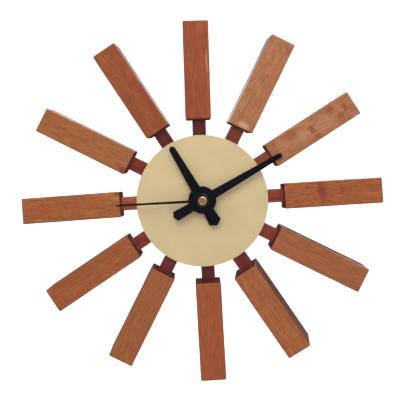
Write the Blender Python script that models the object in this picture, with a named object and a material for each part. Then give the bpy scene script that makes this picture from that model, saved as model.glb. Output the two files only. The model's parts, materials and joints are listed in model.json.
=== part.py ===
"""Sunburst wall clock.

Twelve wooden spokes stand in the mortises of a round wooden hub. A thin dial covers the hub's front,
and a quartz movement in the hub's rear pocket turns three hands. Units are metres. The clock faces -Y
with 12 o'clock towards +Z, and the origin is on the hand axis in the plane of the wall. A depth is a
distance in front of the wall, so y = -depth. The points of an outline are (x, z), and those of a turned
profile are (radius, depth).
"""

import math
from collections import namedtuple

import bmesh
import bpy
from mathutils import Matrix

Finish = namedtuple("Finish", "name srgb roughness metallic")
Gear = namedtuple("Gear", "teeth module")
Hand = namedtuple(
    "Hand",
    "length tip_width root_width disc_radius disc_offset tail_length tail_root_width tail_end_width point",
)
Lie = namedtuple("Lie", "shift skew_deg roll_deg neck_shift")

MM = 0.001
TURN = 2 * math.pi
QUARTER = math.pi / 2
MERGE = 1e-7
SHARP_DEG = 35

# Clearances
GAP = 0.3 * MM
RUNNING = 0.12 * MM
OVERSHOOT = 2.0 * MM

# Spokes: a block with a narrower neck, whose end is the tenon that stands in the hub
SPOKES = 12
BLOCK_WIDTH = 19.9 * MM
BLOCK_DEPTH = 26.0 * MM
BLOCK_LENGTH = 76.3 * MM
BLOCK_EDGE = 1.0 * MM
BLOCK_INNER_RADIUS = 63.4 * MM
BLOCK_MIDDLE = 18.0 * MM
NECK_WIDTH = 10.6 * MM
NECK_DEPTH = 9.5 * MM
NECK_EDGE = 0.5 * MM
NECK_SETBACK = 8.5 * MM
TENON_INNER_RADIUS = 43.2 * MM

# How each spoke was made and set by hand, from 1 o'clock to 12: shift sideways, skew in the clock's plane,
# roll, and how far its neck is off the block's middle
LIES = [
    Lie(0.0 * MM, -0.9, 4.0, -0.9 * MM),
    Lie(0.0 * MM, 0.3, -1.5, 0.2 * MM),
    Lie(0.2 * MM, -0.4, -3.0, -0.6 * MM),
    Lie(-0.4 * MM, -0.8, 1.5, -0.6 * MM),
    Lie(1.0 * MM, -1.3, 8.0, -1.5 * MM),
    Lie(-0.9 * MM, -0.1, 0.0, -0.5 * MM),
    Lie(1.8 * MM, -0.4, -1.0, -0.7 * MM),
    Lie(-0.3 * MM, -0.9, 0.5, -0.2 * MM),
    Lie(0.5 * MM, -1.0, 2.5, 0.1 * MM),
    Lie(0.9 * MM, -0.4, -0.5, 0.2 * MM),
    Lie(1.0 * MM, -0.3, -3.0, 0.4 * MM),
    Lie(0.3 * MM, 1.4, 0.0, 0.5 * MM),
]

# The hub, and what is fixed to it, hangs low of the hand axis by the play round the movement's bushing
HUB_DROP = 0.6 * MM
HUB_CENTRE = (0.0, -HUB_DROP)

# Hub and dial
HUB_RADIUS = 48.5 * MM
HUB_DEPTH = 25.0 * MM
HUB_CHAMFER = 1.0 * MM
WEB = 3.0 * MM
POCKET_RADIUS = 40.5 * MM
SHAFT_HOLE_RADIUS = 4.9 * MM
DIAL_RADIUS = 51.4 * MM
DIAL_THICKNESS = 1.2 * MM
DIAL_CHAMFER = 0.25 * MM
ROUND_SIDES = 72

# Hands, all pointing to 12 in their own meshes
HOUR_HAND = Hand(
    length=48.0 * MM,
    tip_width=4.9 * MM,
    root_width=7.6 * MM,
    disc_radius=10.6 * MM,
    disc_offset=0.6 * MM,
    tail_length=22.2 * MM,
    tail_root_width=8.3 * MM,
    tail_end_width=10.2 * MM,
    point=3.0 * MM,
)
MINUTE_HAND = Hand(
    length=70.3 * MM,
    tip_width=3.8 * MM,
    root_width=6.8 * MM,
    disc_radius=10.1 * MM,
    disc_offset=0.6 * MM,
    tail_length=25.9 * MM,
    tail_root_width=6.9 * MM,
    tail_end_width=8.0 * MM,
    point=2.3 * MM,
)
HOUR_HAND_DEG = -27.3
MINUTE_HAND_DEG = 62.8
SECOND_HAND_DEG = -89.9
HAND_THICKNESS = 0.5 * MM
HOUR_HAND_BACK = 33.0 * MM
MINUTE_HAND_BACK = 35.0 * MM
SECOND_HAND_LENGTH = 66.0 * MM
SECOND_HAND_ROOT_WIDTH = 2.2 * MM
SECOND_HAND_TIP_WIDTH = 1.3 * MM
SECOND_HAND_RING_RADIUS = 2.4 * MM
SECOND_HAND_BACK = 37.3 * MM
SECOND_HAND_THICKNESS = 0.3 * MM
BOSS_RADIUS = 3.4 * MM
BOSS_EDGE = 0.5 * MM
BOSS_BACK = 38.0 * MM
BOSS_FRONT = 39.8 * MM
HAND_NUT_RADIUS = 5.6 * MM
HAND_NUT = (35.8 * MM, 36.8 * MM)
TIP_STEPS = 10
DISC_STEPS = 24

# Coaxial shafts: the seconds arbor inside the minute pipe inside the hour pipe inside the bushing
ARBOR_RADIUS = 0.5 * MM
ARBOR_FRONT = 39.0 * MM
PIPE_BORE = ARBOR_RADIUS + RUNNING
MINUTE_PIPE_RADIUS = 1.5 * MM
MINUTE_PIPE = (14.6 * MM, 37.0 * MM)
HOUR_PIPE_BORE = MINUTE_PIPE_RADIUS + RUNNING
HOUR_PIPE_RADIUS = 2.5 * MM
HOUR_PIPE = (16.7 * MM, 34.2 * MM)
BUSHING_BORE = HOUR_PIPE_RADIUS + RUNNING
BUSHING_RADIUS = 4.0 * MM
BUSHING = (18.8 * MM, 31.6 * MM)
BUSHING_FLANGE_RADIUS = 5.6 * MM
BUSHING_FLANGE = (20.4 * MM, 21.0 * MM)
RUBBER_WASHER_RADIUS = 9.0 * MM
RUBBER_WASHER = (21.25 * MM, 21.75 * MM)
FLAT_WASHER_RADIUS = 7.5 * MM
FLAT_WASHER = (26.8 * MM, 27.2 * MM)
HEX_NUT_RADIUS = 6.4 * MM
HEX_NUT = (27.5 * MM, 30.1 * MM)
HEX_SIDES = 6
ARBOR_SIDES = 12
PIPE_SIDES = 16
NUT_SIDES = 24

# Movement case and battery bay
CASE_HALF = 28.0 * MM
CASE_CORNER = 3.0 * MM
CASE_WALL = 1.6 * MM
BAY_WALL = 1.2 * MM
CASE_BACK_PLANE = 4.3 * MM
CASE_FRONT_PLANE = 20.1 * MM
CASE_FLOOR = CASE_FRONT_PLANE - CASE_WALL
LID_THICKNESS = 1.4 * MM
LID_INSIDE = CASE_BACK_PLANE + LID_THICKNESS
GEAR_ROOM_BOTTOM = -10.7 * MM
BAY = (-27.0 * MM, -11.8 * MM)
BAY_FLOOR = 19.1 * MM
BATTERY_RADIUS = 7.25 * MM
BATTERY_DEPTH = 11.6 * MM
BATTERY_HEIGHT = sum(BAY) / 2
BATTERY_ENDS = (-24.9 * MM, 24.3 * MM)
BATTERY_NUB_RADIUS = 2.75 * MM
BATTERY_NUB_END = 25.3 * MM
BATTERY_EDGE = 0.5 * MM
CONTACT_X = 25.9 * MM
CONTACT_THICKNESS = 0.4 * MM
CONTACT_HALF = 4.5 * MM
CORNER_STEPS = 4

# Gears
TOOTH_ROOT_SHARE = 0.27
TOOTH_TIP_SHARE = 0.11
ADDENDUM = 0.85
DEDENDUM = 1.15
ROTOR_PINION = Gear(10, 0.25 * MM)
INTERMEDIATE_WHEEL = Gear(60, 0.25 * MM)
INTERMEDIATE_PINION = Gear(12, 0.25 * MM)
SECONDS_WHEEL = Gear(60, 0.25 * MM)
CENTRE_PINION = Gear(8, 0.31 * MM)
CENTRE_WHEEL = Gear(64, 0.31 * MM)
SECONDS_PINION_TEETH = 8
THIRD_WHEEL_TEETH = 60
THIRD_MODULE = (
    CENTRE_WHEEL.module
    * (CENTRE_WHEEL.teeth + CENTRE_PINION.teeth)
    / (THIRD_WHEEL_TEETH + SECONDS_PINION_TEETH)
)
SECONDS_PINION = Gear(SECONDS_PINION_TEETH, THIRD_MODULE)
THIRD_WHEEL = Gear(THIRD_WHEEL_TEETH, THIRD_MODULE)
CANNON_PINION = Gear(12, 0.35 * MM)
MINUTE_WHEEL = Gear(36, 0.35 * MM)
MINUTE_PINION = Gear(10, 0.336 * MM)
HOUR_WHEEL = Gear(40, 0.336 * MM)
KNOB_PINION = Gear(12, 0.35 * MM)

# Where each off-centre axis lies, as a direction from the axis it meshes with
THIRD_DIRECTION = math.radians(140)
INTERMEDIATE_DIRECTION = math.radians(40)
ROTOR_DIRECTION = math.radians(20)
MINUTE_WHEEL_DIRECTION = 0.0
KNOB_DIRECTION = math.radians(-20)

# Depths of the gears, from the back of the movement to its front
PIVOT_RADIUS = 0.4 * MM
PIVOT_BORE = PIVOT_RADIUS + RUNNING
REAR_PIVOT = 6.0 * MM
ROTOR_PINION_AT = (6.9 * MM, 8.2 * MM)
INTERMEDIATE_WHEEL_AT = (7.2 * MM, 7.9 * MM)
INTERMEDIATE_PINION_AT = (8.5 * MM, 9.8 * MM)
SECONDS_WHEEL_AT = (8.8 * MM, 9.5 * MM)
SECONDS_PINION_AT = (10.1 * MM, 11.4 * MM)
THIRD_WHEEL_AT = (10.4 * MM, 11.1 * MM)
MIDDLE_PLATE_AT = (11.8 * MM, 12.6 * MM)
MIDDLE_PIVOT = 12.4 * MM
CENTRE_PINION_AT = (12.95 * MM, 14.2 * MM)
CENTRE_WHEEL_AT = (13.2 * MM, 13.9 * MM)
CENTRE_HUB_AT = (12.9 * MM, 14.3 * MM)
CENTRE_HUB_RADIUS = 1.5 * MM
THIRD_PIVOT = 15.6 * MM
CANNON_PINION_AT = (14.8 * MM, 16.3 * MM)
MINUTE_WHEEL_AT = (15.2 * MM, 15.9 * MM)
MINUTE_PINION_AT = (15.6 * MM, 18.0 * MM)
MINUTE_POST_RADIUS = 0.5 * MM
MINUTE_POST_BACK = 14.9 * MM
HOUR_WHEEL_AT = (16.9 * MM, 17.7 * MM)
KNOB_RADIUS = 4.6 * MM
KNOB_AT = (1.0 * MM, 3.8 * MM)
KNOB_SHAFT_RADIUS = 1.6 * MM
KNOB_SHAFT_FRONT = 17.2 * MM
KNOB_HOLE_RADIUS = 1.9 * MM
KNOB_PINION_AT = (14.8 * MM, 16.4 * MM)
KNOB_FLUTES = 18
KNOB_FLUTE_DEPTH = 0.35 * MM

# Bosses and posts of the case
BOSS_OUTER = 1.3 * MM
LID_BOSS_FRONT = 6.7 * MM
THIRD_BOSS_BACK = 14.6 * MM
THIRD_BOSS_BORE_FRONT = 16.2 * MM
PLATE_POST_RADIUS = 1.8 * MM
PLATE_POSTS = [(side * 23.0 * MM, height * MM) for side in (-1, 1) for height in (-8.0, 15.0)]
BOARD_POST_RADIUS = 1.0 * MM
BOARD_POSTS = [(side * 23.0 * MM, 24.0 * MM) for side in (-1, 1)]
PLATE_HALF_WIDTH = 25.5 * MM
PLATE_HEIGHTS = (-10.0 * MM, 17.4 * MM)

# Motor and electronics
MAGNET_RADIUS = 2.6 * MM
MAGNET_AT = (9.6 * MM, 11.5 * MM)
STATOR_AT = (10.4 * MM, 11.2 * MM)
STATOR_HOLE_RADIUS = 3.0 * MM
STATOR_POLE_RADIUS = 5.2 * MM
STATOR_POLE_STEPS = 10
STATOR_TOP = 24.0 * MM
STATOR_LEFT = (-2.8 * MM, 1.0 * MM)
STATOR_RIGHT = (18.2 * MM, 22.0 * MM)
STATOR_YOKE_TOP = 14.4 * MM
STATOR_SHOULDERS = (17.5 * MM, 19.0 * MM)
COIL_HEIGHT = 21.4 * MM
COIL_DEPTH = 9.2 * MM
CORE_RADIUS = 1.0 * MM
CORE_ENDS = (-1.8 * MM, 21.0 * MM)
BOBBIN_BORE = 1.3 * MM
BOBBIN_RADIUS = 1.6 * MM
BOBBIN_FLANGE_RADIUS = 2.9 * MM
BOBBIN_FLANGE = 0.6 * MM
BOBBIN_ENDS = (1.6 * MM, 17.6 * MM)
COIL_RADIUS = 2.7 * MM
BOARD_HALF_WIDTH = 25.5 * MM
BOARD_HEIGHTS = (18.0 * MM, 26.0 * MM)
BOARD_AT = (12.8 * MM, 13.6 * MM)
CHIP_AT = (-12.0 * MM, 22.0 * MM)
CHIP_RADIUS = 2.4 * MM
CHIP_DEPTHS = (11.5 * MM, 12.5 * MM)
CRYSTAL_ENDS = (-23.0 * MM, -17.0 * MM)
CRYSTAL_RADIUS = 1.0 * MM
CRYSTAL_DEPTH = 11.4 * MM

# Hanger: a steel plate with a keyhole, let into the hub's back; heights are above the hub's centre
HANGER_HEIGHT = 32.5 * MM
HANGER_HALF_LENGTH = 27.5 * MM
HANGER_RADIUS = 5.5 * MM
HANGER_AT = (0.3 * MM, 1.5 * MM)
KEYHOLE_HEIGHT = 31.4 * MM
KEYHOLE_RADIUS = 3.3 * MM
KEYSLOT_RADIUS = 1.7 * MM
KEYSLOT_TOP = 35.4 * MM
SCREW_HEAD_RADIUS = 2.4 * MM
SCREW_SHANK_RADIUS = 1.1 * MM
SCREW_NECK = 1.7 * MM
SCREW_TIP = 9.0 * MM
SCREW_SLOT = 0.3 * MM
SCREW_SLOT_DEPTH = 0.35 * MM

WALNUT = Finish("lacquered_walnut", (158, 88, 56), 0.35, 0.0)
HUB_WOOD = Finish("hub_wood", (96, 48, 40), 0.55, 0.0)
DIAL_PAINT = Finish("dial_paint", (208, 185, 145), 0.45, 0.0)
BLACK = Finish("black_enamel", (28, 29, 32), 0.4, 0.0)
BRASS = Finish("brass", (186, 140, 84), 0.3, 1.0)
STEEL = Finish("steel", (150, 150, 152), 0.35, 1.0)
RUBBER = Finish("rubber", (30, 30, 30), 0.8, 0.0)
CASE_PLASTIC = Finish("case_plastic", (38, 38, 40), 0.5, 0.0)
WHITE_PLASTIC = Finish("gear_plastic", (225, 222, 214), 0.45, 0.0)
COPPER = Finish("coil_copper", (170, 84, 48), 0.4, 1.0)
BOARD = Finish("circuit_board", (44, 92, 60), 0.5, 0.0)
RESIN = Finish("chip_resin", (20, 20, 22), 0.35, 0.0)
BATTERY_SLEEVE = Finish("battery_sleeve", (70, 92, 120), 0.35, 0.0)


def linear(channel):
    """One sRGB channel, 0 to 255, as the linear value that a shader takes."""
    share = channel / 255
    return share / 12.92 if share <= 0.04045 else ((share + 0.055) / 1.055) ** 2.4


def material(finish):
    """The Principled material of a finish, made once."""
    made = bpy.data.materials.get(finish.name)
    if made is None:
        made = bpy.data.materials.new(finish.name)
        made.use_nodes = True
        shader = made.node_tree.nodes["Principled BSDF"]
        shader.inputs["Base Color"].default_value = (*map(linear, finish.srgb), 1.0)
        shader.inputs["Roughness"].default_value = finish.roughness
        shader.inputs["Metallic"].default_value = finish.metallic
    return made


def polar(radius, angle, centre=(0.0, 0.0)):
    """A point (x, z), at an angle counter-clockwise from +X as seen from the front."""
    return centre[0] + radius * math.cos(angle), centre[1] + radius * math.sin(angle)


def arc(radius, start, end, steps, centre=(0.0, 0.0)):
    """Points along an arc, both ends included."""
    return [polar(radius, start + (end - start) * step / steps, centre) for step in range(steps + 1)]


def circle(radius, sides, centre=(0.0, 0.0)):
    """The points of a round outline."""
    return arc(radius, 0.0, TURN, sides, centre)[:-1]


def rectangle(low_x, high_x, low_z, high_z):
    """The corners of an upright rectangle."""
    return [(low_x, low_z), (high_x, low_z), (high_x, high_z), (low_x, high_z)]


def rounded_square(half, corner):
    """The outline of a square with round corners."""
    inner = half - corner
    points = []
    for number, (side_x, side_z) in enumerate([(1, 1), (-1, 1), (-1, -1), (1, -1)]):
        start = number * QUARTER
        points += arc(corner, start, start + QUARTER, CORNER_STEPS, (side_x * inner, side_z * inner))
    return points


def stadium(half_length, radius, height):
    """The outline of a bar with half-round ends."""
    right = arc(radius, -QUARTER, QUARTER, 2 * CORNER_STEPS, (half_length, height))
    left = arc(radius, QUARTER, 3 * QUARTER, 2 * CORNER_STEPS, (-half_length, height))
    return right + left


def prism(outline, back, front):
    """An outline, carried from one depth to another."""
    bm = bmesh.new()
    face = bm.faces.new([bm.verts.new((x, -back, z)) for x, z in outline])
    grown = bmesh.ops.extrude_face_region(bm, geom=[face])["geom"]
    moved = [part for part in grown if isinstance(part, bmesh.types.BMVert)]
    bmesh.ops.translate(bm, verts=moved, vec=(0.0, back - front, 0.0))
    return bm


def turned(profile, sides=PIPE_SIDES, ring=False):
    """A profile of (radius, depth) points, spun about the Y axis. A ring's profile closes on itself."""
    bm = bmesh.new()
    points = [bm.verts.new((radius, -depth, 0.0)) for radius, depth in profile]
    ends = zip(points, points[1:] + points[:1]) if ring else zip(points, points[1:])
    geometry = points + [bm.edges.new(pair) for pair in ends]
    bmesh.ops.spin(bm, geom=geometry, axis=(0.0, 1.0, 0.0), angle=TURN, steps=sides, use_merge=True)
    bmesh.ops.remove_doubles(bm, verts=bm.verts, dist=MERGE)
    return bm


def rod(radius, back, front, sides=PIPE_SIDES, centre=(0.0, 0.0)):
    """A plain cylinder along Y."""
    return prism(circle(radius, sides, centre), back, front)


def tube(outer, inner, back, front, sides=PIPE_SIDES):
    """A plain cylinder along Y with a hole through it."""
    return turned([(outer, back), (outer, front), (inner, front), (inner, back)], sides, ring=True)


def lying(bm, height, depth):
    """Turns a shape made along Y to lie along X, so that its depths become x."""
    bmesh.ops.rotate(bm, verts=bm.verts, matrix=Matrix.Rotation(QUARTER, 3, "Z"))
    bmesh.ops.translate(bm, verts=bm.verts, vec=(0.0, -depth, height))
    return bm


def bevelled_box(width, depth, length, centre, edge, segments):
    """A box with softened edges."""
    bm = bmesh.new()
    shape = Matrix.Translation(centre) @ Matrix.Diagonal((width, depth, length, 1.0))
    bmesh.ops.create_cube(bm, size=1.0, matrix=shape)
    bmesh.ops.bevel(bm, geom=bm.edges, offset=edge, segments=segments, profile=0.5, affect="EDGES")
    return bm


def place(name, mesh, at=(0.0, 0.0)):
    """A new object in the scene, with its origin at a point (x, z) of the wall plane."""
    thing = bpy.data.objects.new(name, mesh)
    thing.location = (at[0], 0.0, at[1])
    bpy.context.scene.collection.objects.link(thing)
    return thing


def rough(name, bm, at):
    """An object straight from a bmesh, with its faces pointing out."""
    bmesh.ops.recalc_face_normals(bm, faces=bm.faces)
    mesh = bpy.data.meshes.new(name)
    bm.to_mesh(mesh)
    bm.free()
    return place(name, mesh, at)


def solid(name, finish, shapes, cuts=(), at=(0.0, 0.0), added=(), bored=()):
    """One object: shapes joined, less its cuts. Then shapes can be added in the cuts, and bored."""
    thing = rough(name, shapes[0], at)
    tools = [("UNION", rough("join", bm, at)) for bm in shapes[1:]]
    tools += [("DIFFERENCE", rough("cut", bm, at)) for bm in cuts]
    tools += [("UNION", rough("join", bm, at)) for bm in added]
    tools += [("DIFFERENCE", rough("cut", bm, at)) for bm in bored]
    for operation, tool in tools:
        step = thing.modifiers.new(operation.lower(), "BOOLEAN")
        step.operation = operation
        step.object = tool
    graph = bpy.context.evaluated_depsgraph_get()
    mesh = bpy.data.meshes.new_from_object(thing.evaluated_get(graph))
    thing.modifiers.clear()
    thing.data = mesh
    for _, tool in tools:
        bpy.data.objects.remove(tool)
    mesh.materials.clear()
    mesh.materials.append(material(finish))
    mesh.shade_smooth()
    mesh.set_sharp_from_angle(angle=math.radians(SHARP_DEG))
    return thing


def gear_outline(gear, phase):
    """The outline of a gear with a tooth centred at the phase angle. The teeth are thin, for backlash."""
    pitch_radius = gear.teeth * gear.module / 2
    root = pitch_radius - DEDENDUM * gear.module
    tip = pitch_radius + ADDENDUM * gear.module
    step = TURN / gear.teeth
    corners = [
        (root, -TOOTH_ROOT_SHARE),
        (tip, -TOOTH_TIP_SHARE),
        (tip, TOOTH_TIP_SHARE),
        (root, TOOTH_ROOT_SHARE),
    ]
    return [
        polar(radius, phase + (tooth + share) * step)
        for tooth in range(gear.teeth)
        for radius, share in corners
    ]


def toothed(gear, depths, phase=0.0):
    """A gear's solid, from its outline."""
    return prism(gear_outline(gear, phase), *depths)


def distance(one, other):
    """How far apart the axes of two meshing gears stand."""
    return (one.teeth * one.module + other.teeth * other.module) / 2


def mesh_phase(one, phase, other, direction):
    """The phase that puts a tooth of the other gear into a gap of the first, along the direction."""
    turns = (direction - phase) * one.teeth / TURN
    return direction + math.pi - (0.5 - turns) * TURN / other.teeth


THIRD_AXIS = polar(distance(SECONDS_PINION, THIRD_WHEEL), THIRD_DIRECTION)
INTERMEDIATE_AXIS = polar(distance(SECONDS_WHEEL, INTERMEDIATE_PINION), INTERMEDIATE_DIRECTION)
ROTOR_AXIS = polar(distance(INTERMEDIATE_WHEEL, ROTOR_PINION), ROTOR_DIRECTION, INTERMEDIATE_AXIS)
MINUTE_WHEEL_AXIS = polar(distance(CANNON_PINION, MINUTE_WHEEL), MINUTE_WHEEL_DIRECTION)
KNOB_AXIS = polar(distance(MINUTE_WHEEL, KNOB_PINION), KNOB_DIRECTION, MINUTE_WHEEL_AXIS)


def spoke_frame(hour):
    """A spoke's own frame within the hub's: its origin at the middle of the block's inner end, its Z outwards."""
    lie = LIES[hour - 1]
    angle = TURN * hour / SPOKES
    inner_end = Matrix.Translation((lie.shift, -BLOCK_MIDDLE, BLOCK_INNER_RADIUS))
    out = Matrix.Rotation(angle, 4, "Y") @ inner_end
    skew = Matrix.Rotation(math.radians(lie.skew_deg), 4, "Y")
    return out @ skew @ Matrix.Rotation(math.radians(lie.roll_deg), 4, "Z")


def neck_box(hour, clearance, inner_radius, outer_radius):
    """The extents of a neck in its spoke's frame: its size and its centre."""
    front = NECK_SETBACK - BLOCK_DEPTH / 2
    middle = (inner_radius + outer_radius) / 2 - BLOCK_INNER_RADIUS
    size = (NECK_WIDTH + 2 * clearance, NECK_DEPTH + 2 * clearance, outer_radius - inner_radius)
    return size, (LIES[hour - 1].neck_shift, front + NECK_DEPTH / 2, middle)


def make_spokes():
    """The twelve spokes."""
    size = (BLOCK_WIDTH, BLOCK_DEPTH, BLOCK_LENGTH)
    centre = (0.0, 0.0, BLOCK_LENGTH / 2)
    for hour in range(1, SPOKES + 1):
        neck = neck_box(hour, 0.0, TENON_INNER_RADIUS, BLOCK_INNER_RADIUS + 2 * BLOCK_EDGE)
        shapes = [
            bevelled_box(*size, centre, BLOCK_EDGE, segments=2),
            bevelled_box(*neck[0], neck[1], NECK_EDGE, segments=1),
        ]
        dropped = Matrix.Translation((0.0, 0.0, -HUB_DROP))
        solid(f"spoke_{hour:02d}", WALNUT, shapes).matrix_world = dropped @ spoke_frame(hour)


def mortises():
    """One cutter for the twelve mortises in the hub's rim."""
    bm = bmesh.new()
    for hour in range(1, SPOKES + 1):
        size, centre = neck_box(hour, GAP, TENON_INNER_RADIUS - GAP, HUB_RADIUS + OVERSHOOT)
        box = Matrix.Translation(centre) @ Matrix.Diagonal((*size, 1.0))
        bmesh.ops.create_cube(bm, size=1.0, matrix=spoke_frame(hour) @ box)
    return bm


def make_hub():
    """The turned drum: a rim and a web, mortises round the rim, and a recess for the hanger behind."""
    front, outer = HUB_DEPTH, HUB_RADIUS
    profile = [
        (SHAFT_HOLE_RADIUS, front),
        (SHAFT_HOLE_RADIUS, front - WEB),
        (POCKET_RADIUS, front - WEB),
        (POCKET_RADIUS, 0.0),
        (outer - HUB_CHAMFER, 0.0),
        (outer, HUB_CHAMFER),
        (outer, front - HUB_CHAMFER),
        (outer - HUB_CHAMFER, front),
    ]
    recess = stadium(HANGER_HALF_LENGTH, HANGER_RADIUS + GAP, HANGER_HEIGHT)
    cuts = [mortises(), prism(recess, -OVERSHOOT, HANGER_AT[1] + GAP)]
    for side in (-1, 1):
        hole = (side * HANGER_HALF_LENGTH, HANGER_HEIGHT)
        cuts.append(rod(SCREW_SHANK_RADIUS + GAP, -OVERSHOOT, SCREW_TIP + GAP, centre=hole))
    solid("hub", HUB_WOOD, [turned(profile, ROUND_SIDES, ring=True)], cuts, at=HUB_CENTRE)


def make_dial():
    """The thin disc over the hub's front."""
    back = HUB_DEPTH + GAP
    front = back + DIAL_THICKNESS
    profile = [
        (SHAFT_HOLE_RADIUS, front),
        (SHAFT_HOLE_RADIUS, back),
        (DIAL_RADIUS - DIAL_CHAMFER, back),
        (DIAL_RADIUS, back + DIAL_CHAMFER),
        (DIAL_RADIUS, front - DIAL_CHAMFER),
        (DIAL_RADIUS - DIAL_CHAMFER, front),
    ]
    solid("dial", DIAL_PAINT, [turned(profile, ROUND_SIDES, ring=True)], at=HUB_CENTRE)


def hand_outline(hand):
    """A tapered blade with a round tip, a disc a little off the axis, and a flared tail with a blunt point."""
    tip = hand.tip_width / 2
    end = hand.tail_end_width / 2
    middle = (0.0, hand.disc_offset)
    blade_angle = math.acos(hand.root_width / 2 / hand.disc_radius)
    tail_angle = math.acos(hand.tail_root_width / 2 / hand.disc_radius)
    points = arc(tip, math.pi, 0.0, TIP_STEPS, (0.0, hand.length - tip))
    points += arc(hand.disc_radius, blade_angle, -tail_angle, DISC_STEPS, middle)
    corner = hand.point - hand.tail_length
    points += [(end, corner), (0.0, -hand.tail_length), (-end, corner)]
    points += arc(hand.disc_radius, math.pi + tail_angle, math.pi - blade_angle, DISC_STEPS, middle)
    return points


def make_hand(name, hand, bore, back, clock_deg):
    """A flat sheet hand with a round bore, turned clockwise from 12."""
    front = back + HAND_THICKNESS
    hole = rod(bore, back - OVERSHOOT, front + OVERSHOOT)
    thing = solid(name, BLACK, [prism(hand_outline(hand), back, front)], [hole])
    thing.rotation_euler.y = math.radians(clock_deg)


def make_hands():
    """The three hands, the nut that holds the minute hand, and the boss of the second hand."""
    make_hand("hour_hand", HOUR_HAND, HOUR_PIPE_RADIUS + RUNNING, HOUR_HAND_BACK, HOUR_HAND_DEG)
    make_hand("minute_hand", MINUTE_HAND, MINUTE_PIPE_RADIUS + RUNNING, MINUTE_HAND_BACK, MINUTE_HAND_DEG)
    solid("hand_nut", BLACK, [tube(HAND_NUT_RADIUS, MINUTE_PIPE_RADIUS + RUNNING, *HAND_NUT)])
    depths = (SECOND_HAND_BACK, SECOND_HAND_BACK + SECOND_HAND_THICKNESS)
    root, tip = SECOND_HAND_ROOT_WIDTH / 2, SECOND_HAND_TIP_WIDTH / 2
    ends = (PIPE_BORE + GAP, SECOND_HAND_LENGTH)
    needle = prism([(-root, ends[0]), (root, ends[0]), (tip, ends[1]), (-tip, ends[1])], *depths)
    hole = rod(PIPE_BORE, depths[0] - OVERSHOOT, depths[1] + OVERSHOOT, ARBOR_SIDES)
    thing = solid("second_hand", BLACK, [rod(SECOND_HAND_RING_RADIUS, *depths), needle], [hole])
    thing.rotation_euler.y = math.radians(SECOND_HAND_DEG)
    profile = [
        (0.0, BOSS_FRONT),
        (BOSS_RADIUS - BOSS_EDGE, BOSS_FRONT),
        (BOSS_RADIUS, BOSS_FRONT - BOSS_EDGE),
        (BOSS_RADIUS, BOSS_BACK),
        (PIPE_BORE, BOSS_BACK),
        (PIPE_BORE, ARBOR_FRONT + GAP),
        (0.0, ARBOR_FRONT + GAP),
    ]
    solid("second_hand_boss", BRASS, [turned(profile, NUT_SIDES)])


def make_fixing():
    """The threaded bushing and what clamps the movement, hub and dial together on it."""
    profile = [
        (BUSHING_BORE, BUSHING[0]),
        (BUSHING_RADIUS, BUSHING[0]),
        (BUSHING_RADIUS, BUSHING_FLANGE[0]),
        (BUSHING_FLANGE_RADIUS, BUSHING_FLANGE[0]),
        (BUSHING_FLANGE_RADIUS, BUSHING_FLANGE[1]),
        (BUSHING_RADIUS, BUSHING_FLANGE[1]),
        (BUSHING_RADIUS, BUSHING[1]),
        (BUSHING_BORE, BUSHING[1]),
    ]
    solid("bushing", BRASS, [turned(profile, NUT_SIDES, ring=True)])
    clear = BUSHING_RADIUS + RUNNING
    solid("rubber_washer", RUBBER, [tube(RUBBER_WASHER_RADIUS, clear, *RUBBER_WASHER, NUT_SIDES)])
    solid("flat_washer", BRASS, [tube(FLAT_WASHER_RADIUS, clear, *FLAT_WASHER, NUT_SIDES)])
    hole = rod(clear, HEX_NUT[0] - OVERSHOOT, HEX_NUT[1] + OVERSHOOT, NUT_SIDES)
    solid("hex_nut", BRASS, [rod(HEX_NUT_RADIUS, *HEX_NUT, HEX_SIDES)], [hole])


def make_case():
    """The movement's case, open at the back: its gear room, battery bay, posts and a bearing boss."""
    inside = CASE_HALF - CASE_WALL
    past = CASE_BACK_PLANE - OVERSHOOT
    long_inside = CASE_HALF - BAY_WALL
    room = prism(rectangle(-inside, inside, GEAR_ROOM_BOTTOM, inside), past, CASE_FLOOR)
    bay = prism(rectangle(-long_inside, long_inside, *BAY), past, BAY_FLOOR)
    shaft = rod(BUSHING_RADIUS + GAP, CASE_FLOOR - OVERSHOOT, CASE_FRONT_PLANE + OVERSHOOT)
    block = prism(rounded_square(CASE_HALF, CASE_CORNER), CASE_BACK_PLANE, CASE_FRONT_PLANE)
    root = CASE_FLOOR + CASE_WALL / 2
    stands = [(PLATE_POST_RADIUS, MIDDLE_PLATE_AT[1] + GAP, spot) for spot in PLATE_POSTS]
    stands += [(BOARD_POST_RADIUS, BOARD_AT[1] + GAP, spot) for spot in BOARD_POSTS]
    stands.append((MINUTE_POST_RADIUS, MINUTE_POST_BACK, MINUTE_WHEEL_AXIS))
    posts = [rod(radius, back, root, ARBOR_SIDES, spot) for radius, back, spot in stands]
    posts.append(rod(BOSS_OUTER, THIRD_BOSS_BACK, root, centre=THIRD_AXIS))
    socket = rod(PIVOT_BORE, THIRD_BOSS_BACK - OVERSHOOT, THIRD_BOSS_BORE_FRONT, ARBOR_SIDES, THIRD_AXIS)
    solid("movement_case", CASE_PLASTIC, [block], [room, bay, shaft], added=posts, bored=[socket])


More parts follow.
